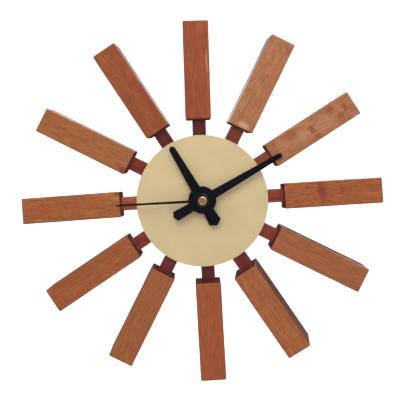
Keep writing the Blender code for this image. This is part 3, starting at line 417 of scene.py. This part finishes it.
def moulded(name, srgb, roughness, texture, glow=0.0):
    """Moulded plastic with an eroded texture, faint flow lines and handling marks."""
    s = Shader(name)
    grain = s.noise(0.22 * MM, 2.0, 0.5)
    flow = s.noise(9.0 * MM, 3.0, 0.5, s.stretched((0.4, 1.0, 1.4)))
    scuff = s.noise(0.6 * MM, 3.0, 0.6, s.stretched((0.15, 1.0, 0.6)))
    base = s.mix(s.span(flow, 0.3, 0.7), colour(srgb, 0.88), colour(srgb, 1.12))
    base = s.mix(s.math("MULTIPLY", s.span(scuff, 0.66, 0.76), 0.25), base, colour((120, 120, 122)))
    s.set(Base_Color=base, Roughness=s.span(flow, 0.3, 0.7, roughness - 0.06, roughness + 0.06))
    s.set(Subsurface_Weight=glow, Subsurface_Scale=0.6 * MM)
    s.bump((grain, texture))
    return s.material


def wound(name):
    """Enamelled copper wire, wound round the X axis, its turns banded darker between them as painted shade in
    the grooves.
    """
    s = Shader(name)
    turns = s.add(
        "ShaderNodeTexWave",
        {"Vector": s.here, "Scale": 2600.0, "Distortion": 0.4, "Detail": 1.0, "Detail Scale": 0.5},
        wave_type="BANDS",
        bands_direction="X",
    ).outputs["Fac"]
    layer = s.noise(2.0 * MM, 2.0, 0.5)
    # Painted shade: each band darkens towards the groove between turns
    base = s.mix(turns, colour((96, 38, 20)), colour((196, 106, 62)))
    s.set(Base_Color=s.mix(s.math("MULTIPLY", layer, 0.3), base, colour((140, 70, 34))), Metallic=1.0)
    s.set(Roughness=s.span(layer, 0.3, 0.7, 0.3, 0.45))
    s.bump((turns, 0.05 * MM))
    return s.material


def board_mask(name):
    """Green solder mask over copper tracks, with bare pads."""
    s = Shader(name)
    facing = s.add("ShaderNodeMapping", {"Vector": s.here, "Rotation": (math.pi / 2, 0.0, 0.0)}).outputs[0]
    tracks = s.add(
        "ShaderNodeTexBrick",
        {
            "Vector": facing,
            "Scale": 260.0,
            "Mortar Size": 0.035,
            "Color1": (0.0, 0.0, 0.0, 1.0),
            "Color2": (0.0, 0.0, 0.0, 1.0),
            "Mortar": (1.0, 1.0, 1.0, 1.0),
        },
    ).outputs["Fac"]
    pads = s.add("ShaderNodeTexVoronoi", {"Vector": s.here, "Scale": 330.0}).outputs["Distance"]
    pad = s.span(pads, 0.16, 0.12)
    base = s.mix(s.noise(6.0 * MM), colour((34, 80, 50)), colour((50, 104, 66)))
    base = s.mix(s.math("MULTIPLY", tracks, 0.6), base, colour((78, 136, 84)))
    s.set(Base_Color=s.mix(pad, base, colour((196, 192, 180))), Roughness=s.span(pad, 0.0, 1.0, 0.45, 0.25))
    s.bump((tracks, 0.03 * MM), (pad, 0.05 * MM))
    return s.material


def foil_sleeve(name, sleeve, band, ends):
    """A dry cell: bare steel ends, and a shrunk sleeve of two plain colours, along X."""
    s = Shader(name)
    low, split, high = ends
    along = s.add("ShaderNodeSeparateXYZ", {0: s.here}).outputs["X"]
    steel = s.math("ADD", s.math("LESS_THAN", along, low), s.math("GREATER_THAN", along, high))
    film = s.noise(7.0 * MM, 3.0, 0.5, s.stretched((0.3, 1.0, 1.0)))
    base = s.mix(s.math("GREATER_THAN", along, split), colour(sleeve), colour(band))
    base = s.mix(s.math("MULTIPLY", film, 0.18), base, colour((210, 214, 220)))
    scratch = s.noise(0.3 * MM, 3.0, 0.6, s.stretched((1.0, 0.08, 0.08)))
    s.set(Base_Color=s.mix(steel, base, colour((186, 186, 184))), Metallic=steel)
    s.set(Roughness=s.span(s.math("ADD", film, s.math("MULTIPLY", scratch, 0.3)), 0.4, 0.95, 0.2, 0.42))
    s.bump((film, 0.05 * MM), (scratch, 0.006 * MM))
    return s.material


# --- geometry ---------------------------------------------------------------------------------------------


def piece(name, bm, material, node, at=None, instead=True, sharp=None):
    """A smooth-shaded piece from a bmesh, riding on its CAD node's body.

    It is shown in place of that node if instead is true. Edges sharper than sharp, in degrees, stay sharp.
    """
    bmesh.ops.recalc_face_normals(bm, faces=bm.faces)
    mesh = bpy.data.meshes.new(name)
    bm.to_mesh(mesh)
    bm.free()
    mesh.shade_smooth()
    if sharp:
        mesh.set_sharp_from_angle(angle=math.radians(sharp))
    mesh.materials.append(material)
    thing = bpy.data.objects.new(name, mesh)
    thing.matrix_world = at or Matrix.Identity(4)
    bpy.context.scene.collection.objects.link(thing)
    even = thing.modifiers.new("even", "WEIGHTED_NORMAL")
    even.keep_sharp = True
    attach(thing, BODY_OF[node])
    if instead:
        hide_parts(node)
    return thing


def spoke_frame(node):
    """A spoke's own frame, its block's size, and its tenon's low and high corners.

    The frame's X goes across, Y into the wall and Z outwards, as the block's four long sides lie. They are
    the eight largest triangles.
    """
    mesh = NODES[node].data
    sides = sorted(mesh.polygons, key=lambda face: face.area)[-8:]
    front = min(sides, key=lambda face: face.normal.y).normal.normalized()
    across = max(sides, key=lambda face: abs(face.normal.cross(front).length)).normal.normalized()
    middle = sum((vertex.co for vertex in mesh.vertices), Vector()) / len(mesh.vertices)
    out = front.cross(across)
    out *= math.copysign(1.0, out.dot(Vector((middle.x, 0.0, middle.z))))
    depth = -front
    width = depth.cross(out)
    turn = Matrix((width, depth, out)).transposed().to_4x4()
    points = [turn.inverted() @ vertex.co for vertex in mesh.vertices]
    low = Vector(map(min, *points))
    high = Vector(map(max, *points))
    wide = 0.45 * (high.x - low.x)
    centre = (low + high) / 2
    inner = min(point.z for point in points if abs(point.x - centre.x) > wide)
    neck = [point for point in points if point.z < inner - MM]
    origin = Vector((centre.x, centre.y, inner))
    block = (high.x - low.x, high.y - low.y, high.z - inner)
    tenon_low = Vector(map(min, *neck)) - origin
    tenon_high = Vector(map(max, *neck)) - origin
    return turn @ Matrix.Translation(origin), block, tenon_low, tenon_high


def softened_box(low, high, edge, steps, spacing=None):
    """A box with rounded edges, cut along its length into loops about spacing apart."""
    bm = bmesh.new()
    size = high - low
    shape = Matrix.Translation((low + high) / 2) @ Matrix.Diagonal((*size, 1.0))
    bmesh.ops.create_cube(bm, size=1.0, matrix=shape)
    bmesh.ops.bevel(bm, geom=bm.edges, offset=edge, segments=steps, profile=0.5, affect="EDGES")
    loops = int((size.z - 2 * edge) / spacing) if spacing else 0
    for loop in range(1, loops):
        height = low.z + edge + (size.z - 2 * edge) * loop / loops
        everything = bm.verts[:] + bm.edges[:] + bm.faces[:]
        bmesh.ops.bisect_plane(bm, geom=everything, plane_co=(0.0, 0.0, height), plane_no=(0.0, 0.0, 1.0))
    return bm


def unevenly(bm, depth, size, seed):
    """Moves a surface in and out a little, as hand sanding leaves it."""
    for vertex in bm.verts:
        vertex.co += noise.noise_vector(vertex.co / size + Vector((seed, 0.0, 0.0))) * depth


def joined(bm, other):
    """The union of two closed shapes, as one bmesh."""
    things = []
    for number, shape in enumerate((bm, other)):
        bmesh.ops.recalc_face_normals(shape, faces=shape.faces)
        mesh = bpy.data.meshes.new(f"part{number}")
        shape.to_mesh(mesh)
        shape.free()
        thing = bpy.data.objects.new(mesh.name, mesh)
        bpy.context.scene.collection.objects.link(thing)
        things.append(thing)
    step = things[0].modifiers.new("join", "BOOLEAN")
    step.operation = "UNION"
    step.object = things[1]
    graph = bpy.context.evaluated_depsgraph_get()
    made = bmesh.new()
    made.from_object(things[0], graph)
    for thing in things:
        bpy.data.objects.remove(thing)
    return made


def make_spokes():
    """Each spoke in its own wood, with rounded edges that waver a little."""
    noise.seed_set(HAND_FINISH_SEED)
    for hour, wood in WOODS.items():
        node = f"spoke_{hour:02d}"
        at, (width, depth, length), low, high = spoke_frame(node)
        block = softened_box(
            Vector((-width / 2, -depth / 2, 0.0)),
            Vector((width / 2, depth / 2, length)),
            BLOCK_EDGE,
            BLOCK_EDGE_STEPS,
            LOOP_SPACING,
        )
        unevenly(block, HAND_FINISH, HAND_FINISH_SIZE, hour)
        overlap = Vector((high.x, high.y, 2.0 * MM))
        neck = softened_box(low, overlap, NECK_EDGE, NECK_EDGE_STEPS, LOOP_SPACING)
        walnut = timber(f"walnut_{hour:02d}", wood, hour)
        piece(f"{node}_wood", joined(block, neck), walnut, node, at, sharp=50)


def turned(profile, sides, at=(0.0, 0.0)):
    """A closed profile of (radius, y) points, spun about an axis along Y through the point (x, z)."""
    bm = bmesh.new()
    points = [bm.verts.new((radius, y, 0.0)) for radius, y in profile]
    closed = profile[0][0] > 0.0
    pairs = zip(points, points[1:] + points[:1]) if closed else zip(points, points[1:])
    edges = [bm.edges.new(pair) for pair in pairs]
    bmesh.ops.spin(bm, geom=points + edges, axis=(0.0, 1.0, 0.0), angle=TURN, steps=sides, use_merge=True)
    bmesh.ops.remove_doubles(bm, verts=bm.verts, dist=1e-7)
    bmesh.ops.translate(bm, verts=bm.verts, vec=(at[0], 0.0, at[1]))
    return bm


def round_corner(radius, y, edge, quarter, steps=5):
    """The points of a rounded corner of a profile, whose outermost reach is (radius, y)."""
    sign_r, sign_y = quarter
    centre = (radius - sign_r * edge, y - sign_y * edge)
    turns = [step / steps * math.pi / 2 for step in range(steps + 1)]
    return [(centre[0] + sign_r * edge * math.cos(a), centre[1] + sign_y * edge * math.sin(a)) for a in turns]


def make_dial():
    """The dial: a flat disc with a rolled edge."""
    low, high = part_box("dial")
    radius = (high.x - low.x) / 2
    middle = ((low.x + high.x) / 2, (low.z + high.z) / 2)
    hole = 4.9 * MM
    edge = 0.45 * MM
    profile = [(hole, low.y), (hole, high.y)]
    profile += round_corner(radius, high.y, edge, (1, 1))[::-1]
    profile += round_corner(radius, low.y, edge, (1, -1))
    paint = painted("dial_cream", (203, 180, 135), 0.5)
    piece("dial_face", turned(profile, DIAL_SIDES, middle), paint, "dial", sharp=50)


def make_boss():
    """The second hand's cap: a turned disc with a shallow dish and a rounded rim."""
    low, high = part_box("second_hand_boss")
    radius = (high.x - low.x) / 2
    dish, rim = 0.3 * MM, 0.7 * radius
    shares = (0.3, 0.55, 0.7, 0.8, 0.88, 0.95, 1.0)
    profile = [(0.0, low.y + dish)]
    profile += [(rim * share, low.y + dish * (1.0 - share**6)) for share in shares]
    profile += round_corner(radius, low.y, 0.7 * MM, (1, -1), 8)[::-1]
    profile += [(radius, high.y - 0.1 * MM), (radius - 0.1 * MM, high.y), (0.0, high.y)]
    # The pale first colour shows only on the rim, as a painted highlight; the orange dull fills the dish
    cap = metal("turned_cap", (188, 156, 125), 0.4, (196, 148, 92), dish=rim)
    piece("second_hand_cap", turned(profile, FINE_SIDES), cap, "second_hand_boss")


def make_hand_nut():
    """The round nut on the minute pipe, with a broad chamfer."""
    low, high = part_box("hand_nut")
    radius = (high.x - low.x) / 2
    bore = 1.62 * MM
    profile = [(bore, high.y), (bore, low.y), (radius - 0.9 * MM, low.y)]
    profile += round_corner(radius, low.y, 0.5 * MM, (1, -1), 5)[::-1]
    profile += [(radius, high.y - 0.1 * MM), (radius - 0.1 * MM, high.y)]
    black = painted("nut_black", (9, 10, 15), 0.3, shine=0.3)
    piece("hand_nut_turned", turned(profile, FINE_SIDES), black, "hand_nut")


def make_hex_nut():
    """The brass nut on the bushing, its corners turned off on both faces."""
    low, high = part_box("hex_nut")
    radius = (high.x - low.x) / 2
    bore = 4.12 * MM
    turned_to, slope = 0.93 * radius, 0.6
    bm = bmesh.new()
    rings = []
    for step in range(FINE_SIDES):
        angle = TURN * step / FINE_SIDES
        flat = radius * math.cos(TURN / 12) / math.cos(angle % (TURN / 6) - TURN / 12)
        drop = max(0.0, flat - turned_to) * slope
        outer = min(flat, turned_to)
        points = [(bore, low.y), (bore + 0.3 * MM, low.y), (outer, low.y), (flat, low.y + drop + 0.05 * MM)]
        points += [(r, low.y + high.y - y) for r, y in reversed(points)]
        rings.append([bm.verts.new((r * math.cos(angle), y, r * math.sin(angle))) for r, y in points])
    loft(bm, rings)
    brass = metal("nut_brass", (190, 146, 86), 0.3, (130, 96, 60))
    piece("hex_nut_chamfered", bm, brass, "hex_nut", sharp=20)


def loft(bm, rings):
    """Faces between neighbouring rings of vertices, the last joined to the first."""
    for ring, following in zip(rings, rings[1:] + rings[:1]):
        for number, vertex in enumerate(ring):
            after = (number + 1) % len(ring)
            bm.faces.new((vertex, ring[after], following[after], following[number]))


def make_bushing():
    """The movement's bushing, with its thread cut as a true helix."""
    low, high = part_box("bushing")
    bore, crest, pitch, depth = 2.62 * MM, 4.0 * MM, 0.75 * MM, 0.34 * MM
    back, flange_back, flange_front = high.y, -20.4 * MM, -21.0 * MM
    flange = 5.6 * MM
    rows = 104
    bm = bmesh.new()
    rings = []
    for step in range(THREAD_SIDES):
        angle = TURN * step / THREAD_SIDES
        points = [(bore, back), (crest, back), (crest, flange_back)]
        points += [(flange, flange_back), (flange, flange_front)]
        for row in range(rows + 1):
            y = flange_front + (low.y + 0.3 * MM - flange_front) * row / rows
            turn = (y / pitch + angle / TURN) % 1.0
            points.append((crest - depth * abs(2.0 * turn - 1.0), y))
        points += [(crest - depth - 0.1 * MM, low.y), (bore, low.y)]
        rings.append([bm.verts.new((r * math.cos(angle), y, r * math.sin(angle))) for r, y in points])
    loft(bm, rings)
    brass = metal("thread_brass", (182, 140, 84), 0.32, (120, 90, 56))
    piece("bushing_threaded", bm, brass, "bushing", sharp=40)


def make_battery():
    """An AA cell along X, with a shrunk sleeve, crimped shoulders and a raised positive end."""
    low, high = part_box("battery")
    centre = (low + high) / 2
    radius = (high.z - low.z) / 2
    nub_base = high.x - 1.0 * MM
    can = radius - 0.15 * MM
    profile = [(0.0, low.x + 0.15 * MM), (4.3 * MM, low.x + 0.15 * MM), (4.6 * MM, low.x)]
    profile += [(can - 0.7 * MM, low.x), (can - 0.15 * MM, low.x + 0.25 * MM), (can, low.x + 0.8 * MM)]
    profile += [(radius, low.x + 0.9 * MM), (radius, nub_base - 0.9 * MM), (can, nub_base - 0.75 * MM)]
    profile += [(can - 0.15 * MM, nub_base - 0.25 * MM), (can - 0.7 * MM, nub_base)]
    profile += [(2.75 * MM, nub_base), (2.75 * MM, high.x - 0.3 * MM), (2.45 * MM, high.x), (0.0, high.x)]
    bm = turned(profile, CELL_SIDES)
    bmesh.ops.rotate(bm, verts=bm.verts, matrix=Matrix.Rotation(-math.pi / 2, 3, "Z"))
    bmesh.ops.translate(bm, verts=bm.verts, vec=(0.0, centre.y, centre.z))
    ends = (low.x + 0.9 * MM, 0.25 * high.x, nub_base - 0.9 * MM)
    film = foil_sleeve("battery_film", (40, 56, 84), (186, 190, 196), ends)
    piece("battery_cell", bm, film, "battery", sharp=40)


def rounded_rectangle(half_x, low_z, high_z, corner, steps=6):
    """Points round a rectangle with rounded corners, each with its outward direction, as (x, z) pairs."""
    corners = [(half_x, high_z), (-half_x, high_z), (-half_x, low_z), (half_x, low_z)]
    for number, (x, z) in enumerate(corners):
        centre = Vector((math.copysign(half_x - corner, x), z - corner if z == high_z else z + corner))
        for step in range(steps + 1):
            angle = (number + step / steps) * math.pi / 2
            outward = Vector((math.cos(angle), math.sin(angle)))
            yield centre + corner * outward, outward


def make_lid_moulding(material):
    """Raised mouldings on the movement's lid: a frame, ribs in it, and a collar round the setting knob."""
    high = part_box("movement_lid")[1]
    knob_low, knob_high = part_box("setting_knob")
    root, top = high.y - MOULDING_ROOT, high.y + MOULDING_HEIGHT
    half, edge = MOULDING_WIDTH / 2, MOULDING_EDGE
    across = [(-half, root), (-half, top - edge), (edge - half, top)]
    across += [(-out, y) for out, y in reversed(across)]
    reach, frame_top = high.x - MOULDING_MARGIN, high.z - MOULDING_MARGIN
    bm = bmesh.new()
    rings = []
    for point, outward in rounded_rectangle(reach, FRAME_BOTTOM, frame_top, FRAME_CORNER):
        places = [(point + outward * out, y) for out, y in across]
        rings.append([bm.verts.new((place.x, y, place.y)) for place, y in places])
    loft(bm, rings)
    knob = (knob_low + knob_high) / 2
    radius = (knob_high.x - knob_low.x) / 2 + COLLAR_GAP
    shapes = [turned([(radius + out, y) for out, y in across], CELL_SIDES, (knob.x, knob.z))]
    end = reach - MOULDING_MARGIN
    for rib in range(1, RIBS + 1):
        height = FRAME_BOTTOM + (frame_top - FRAME_BOTTOM) * rib / (RIBS + 1)
        corners = (Vector((-end, root, height - half)), Vector((end, top, height + half)))
        shapes.append(softened_box(*corners, edge, MOULDING_EDGE_STEPS))
    for shape in shapes:
        mesh = bpy.data.meshes.new("moulding")
        shape.to_mesh(mesh)
        shape.free()
        bm.from_mesh(mesh)
        bpy.data.meshes.remove(mesh)
    piece("movement_lid_moulding", bm, material, "movement_lid", instead=False, sharp=50)


# --- the rest of the nodes --------------------------------------------------------------------------------


def softening():
    """A node group that welds a CAD node's faces and shades it smooth apart from its sharp edges."""
    tree = bpy.data.node_groups.new("softening", "GeometryNodeTree")
    for way in ("INPUT", "OUTPUT"):
        tree.interface.new_socket("Geometry", in_out=way, socket_type="NodeSocketGeometry")
    start = tree.nodes.new("NodeGroupInput")
    weld = tree.nodes.new("GeometryNodeMergeByDistance")
    weld.inputs["Distance"].default_value = 1e-6
    forget = tree.nodes.new("GeometryNodeRemoveAttribute")
    forget.inputs["Name"].default_value = "custom_normal"
    faces = tree.nodes.new("GeometryNodeSetShadeSmooth")
    corner = tree.nodes.new("GeometryNodeInputMeshEdgeAngle")
    sharp = tree.nodes.new("FunctionNodeCompare")
    sharp.inputs[1].default_value = NODE_SHARP
    edges = tree.nodes.new("GeometryNodeSetShadeSmooth")
    edges.domain = "EDGE"
    edges.inputs["Shade Smooth"].default_value = False
    end = tree.nodes.new("NodeGroupOutput")
    chain = [start, weld, forget, faces, edges, end]
    for one, other in zip(chain, chain[1:]):
        tree.links.new(one.outputs[0], other.inputs[0])
    tree.links.new(corner.outputs[0], sharp.inputs[0])
    tree.links.new(sharp.outputs[0], edges.inputs["Selection"])
    return tree


def soften_nodes(group, made):
    """Gives every CAD node that still shows its finish, smooth shading and a small bevel on its sharp edges.

    Made holds the finishes there are so far, by slot.
    """
    for node, thing in NODES.items():
        if thing.hide_render:
            continue
        slot = SLOT_OF[node]
        if slot not in made:
            made[slot] = FINISHES[slot]()
        thing.data.materials.clear()
        thing.data.materials.append(made[slot])
        thing.modifiers.new("soften", "NODES").node_group = group
        bevel = thing.modifiers.new("edges", "BEVEL")
        bevel.width = NODE_BEVEL
        bevel.segments = 2
        bevel.limit_method = "ANGLE"
        bevel.angle_limit = NODE_SHARP
        bevel.harden_normals = True


# How each of the record's slots that still shows is made
FINISHES = {
    "black_enamel": lambda: painted("black_enamel", (7, 9, 17), 0.45, 0.03 * MM, 0.1, 0.14),
    "hub_wood": lambda: timber("hub_stain", Wood((96, 48, 38), None, 0.0, 0.1, 0.8, []), 20, is_spoke=False),
    "brass": lambda: metal("turned_brass", (196, 152, 92), 0.28, (128, 92, 56)),
    "steel": lambda: metal("bright_steel", (170, 170, 172), 0.25, (120, 118, 116), "brushed"),
    "rubber": lambda: moulded("black_rubber", (26, 26, 27), 0.85, 0.05 * MM),
    "case_plastic": lambda: moulded("case_plastic", (36, 36, 38), 0.55, 0.04 * MM),
    "gear_plastic": lambda: moulded("gear_plastic", (224, 221, 212), 0.42, 0.01 * MM, 0.15),
    "coil_copper": lambda: wound("coil_copper"),
    "circuit_board": lambda: board_mask("circuit_board"),
    "chip_resin": lambda: painted("chip_resin", (18, 18, 20), 0.3),
}


# --- stage ------------------------------------------------------------------------------------------------


def make_lamps():
    """Square area lamps, apart from the rim lamp, which is a low warm strip."""
    for row in LAMPS:
        lamp = bpy.data.lights.new(row.name, "AREA")
        lamp.energy = row.power
        lamp.size = row.size
        thing = bpy.data.objects.new(row.name, lamp)
        thing.location = row.place
        thing.rotation_euler = Vector(row.place).to_track_quat("Z", "Y").to_euler()
        bpy.context.scene.collection.objects.link(thing)
        for rays in row.hidden:
            setattr(thing, f"visible_{rays}", False)
    rim = bpy.data.lights["rim"]
    rim.color = RIM_TONE
    rim.shape = "RECTANGLE"
    rim.size_y = RIM_HEIGHT


def make_stage():
    """A pale floor that sweeps up behind the clock, and a pale round wall that casts no shadow."""
    bm = bmesh.new()
    section = [(-FLOOR_HALF, FLOOR_HEIGHT)]
    for step in range(FLOOR_STEPS + 1):
        angle = step / FLOOR_STEPS * math.pi / 2
        y = FLOOR_END - FLOOR_SWEEP + FLOOR_SWEEP * math.sin(angle)
        z = FLOOR_HEIGHT + FLOOR_SWEEP - FLOOR_SWEEP * math.cos(angle)
        section.append((y, z))
    section.append((FLOOR_END, FLOOR_HALF))
    rows = [[bm.verts.new((x, y, z)) for y, z in section] for x in (-FLOOR_HALF, FLOOR_HALF)]
    for near, away in zip(zip(rows[0], rows[0][1:]), zip(rows[1], rows[1][1:])):
        bm.faces.new((near[0], away[0], away[1], near[1]))
    mesh = bpy.data.meshes.new("floor")
    bm.to_mesh(mesh)
    bm.free()
    mesh.shade_smooth()
    stage_piece(mesh, FLOOR_GLOW)

    bm = bmesh.new()
    radii = {"radius1": WALL_REACH, "radius2": WALL_REACH}
    bmesh.ops.create_cone(bm, cap_ends=False, segments=WALL_SIDES, depth=WALL_HEIGHT, **radii)
    mesh = bpy.data.meshes.new("wall")
    bm.to_mesh(mesh)
    bm.free()
    stage_piece(mesh, WALL_GLOW).visible_shadow = False


def stage_piece(mesh, glow):
    """Part of the pale surroundings, which neither lights the clock nor shows in its reflections."""
    s = Shader(f"pale_{mesh.name}")
    s.set(Base_Color=(0.9, 0.9, 0.9, 1.0), Roughness=0.9)
    s.set(Emission_Color=(1.0, 1.0, 1.0, 1.0), Emission_Strength=glow)
    mesh.materials.append(s.material)
    thing = bpy.data.objects.new(mesh.name, mesh)
    thing.visible_diffuse = False
    thing.visible_glossy = False
    bpy.context.scene.collection.objects.link(thing)
    return thing


def make_world():
    """Soft light, dim below the horizon and brighter from a little above it."""
    world = bpy.data.worlds.new("studio")
    bpy.context.scene.world = world
    world.use_nodes = True
    tree = world.node_tree
    where = tree.nodes.new("ShaderNodeTexCoord")
    axes = tree.nodes.new("ShaderNodeSeparateXYZ")
    ramp = tree.nodes.new("ShaderNodeValToRGB")
    stops = ramp.color_ramp.elements
    for stop, (height, level) in zip([stops[0], stops[1], *(stops.new(0.5) for _ in SKY[2:])], SKY):
        stop.position = (height + 1.0) / 2
        stop.color = (level, level, level, 1.0)
    lift = tree.nodes.new("ShaderNodeMapRange")
    lift.inputs["From Min"].default_value = -1.0
    front = tree.nodes.new("ShaderNodeMath")
    front.operation = "MINIMUM"
    front.inputs[1].default_value = 0.0
    height = tree.nodes.new("ShaderNodeMath")
    height.operation = "MULTIPLY_ADD"
    height.inputs[1].default_value = FRONT_DIP
    tree.links.new(where.outputs["Generated"], axes.inputs[0])
    tree.links.new(axes.outputs["Y"], front.inputs[0])
    tree.links.new(front.outputs[0], height.inputs[0])
    tree.links.new(axes.outputs["Z"], height.inputs[2])
    tree.links.new(height.outputs[0], lift.inputs["Value"])
    tree.links.new(lift.outputs[0], ramp.inputs[0])
    tree.links.new(ramp.outputs[0], tree.nodes["Background"].inputs["Color"])


def make_camera():
    """The camera, above the clock's middle. A lens shift brings the clock back to the middle of the frame."""
    camera = bpy.data.cameras.new("camera")
    camera.lens = CAMERA_LENS
    camera.clip_start, camera.clip_end = CAMERA_CLIP
    thing = bpy.data.objects.new("camera", camera)
    back = Vector((0.0, -math.cos(CAMERA_TILT), math.sin(CAMERA_TILT)))
    turn = back.to_track_quat("Z", "Y").to_matrix().to_4x4() @ Matrix.Rotation(CAMERA_ROLL, 4, "Z")
    rise = Vector((0.0, 0.0, CAMERA_RISE))
    thing.matrix_world = Matrix.Translation(CAMERA_AIM + back * CAMERA_DISTANCE + rise) @ turn
    moved = turn.inverted() @ rise
    camera.shift_x = -moved.x / CAMERA_DISTANCE * CAMERA_LENS / camera.sensor_width
    camera.shift_y = -moved.y / CAMERA_DISTANCE * CAMERA_LENS / camera.sensor_width
    bpy.context.scene.collection.objects.link(thing)
    bpy.context.scene.camera = thing


make_spokes()
make_dial()
make_boss()
make_hex_nut()
make_bushing()
make_battery()
make_hand_nut()
case_plastic = FINISHES["case_plastic"]()
make_lid_moulding(case_plastic)
soften_nodes(softening(), {"case_plastic": case_plastic})
make_stage()
make_world()
make_lamps()
make_camera()
bpy.context.scene.view_settings.view_transform = "Standard"
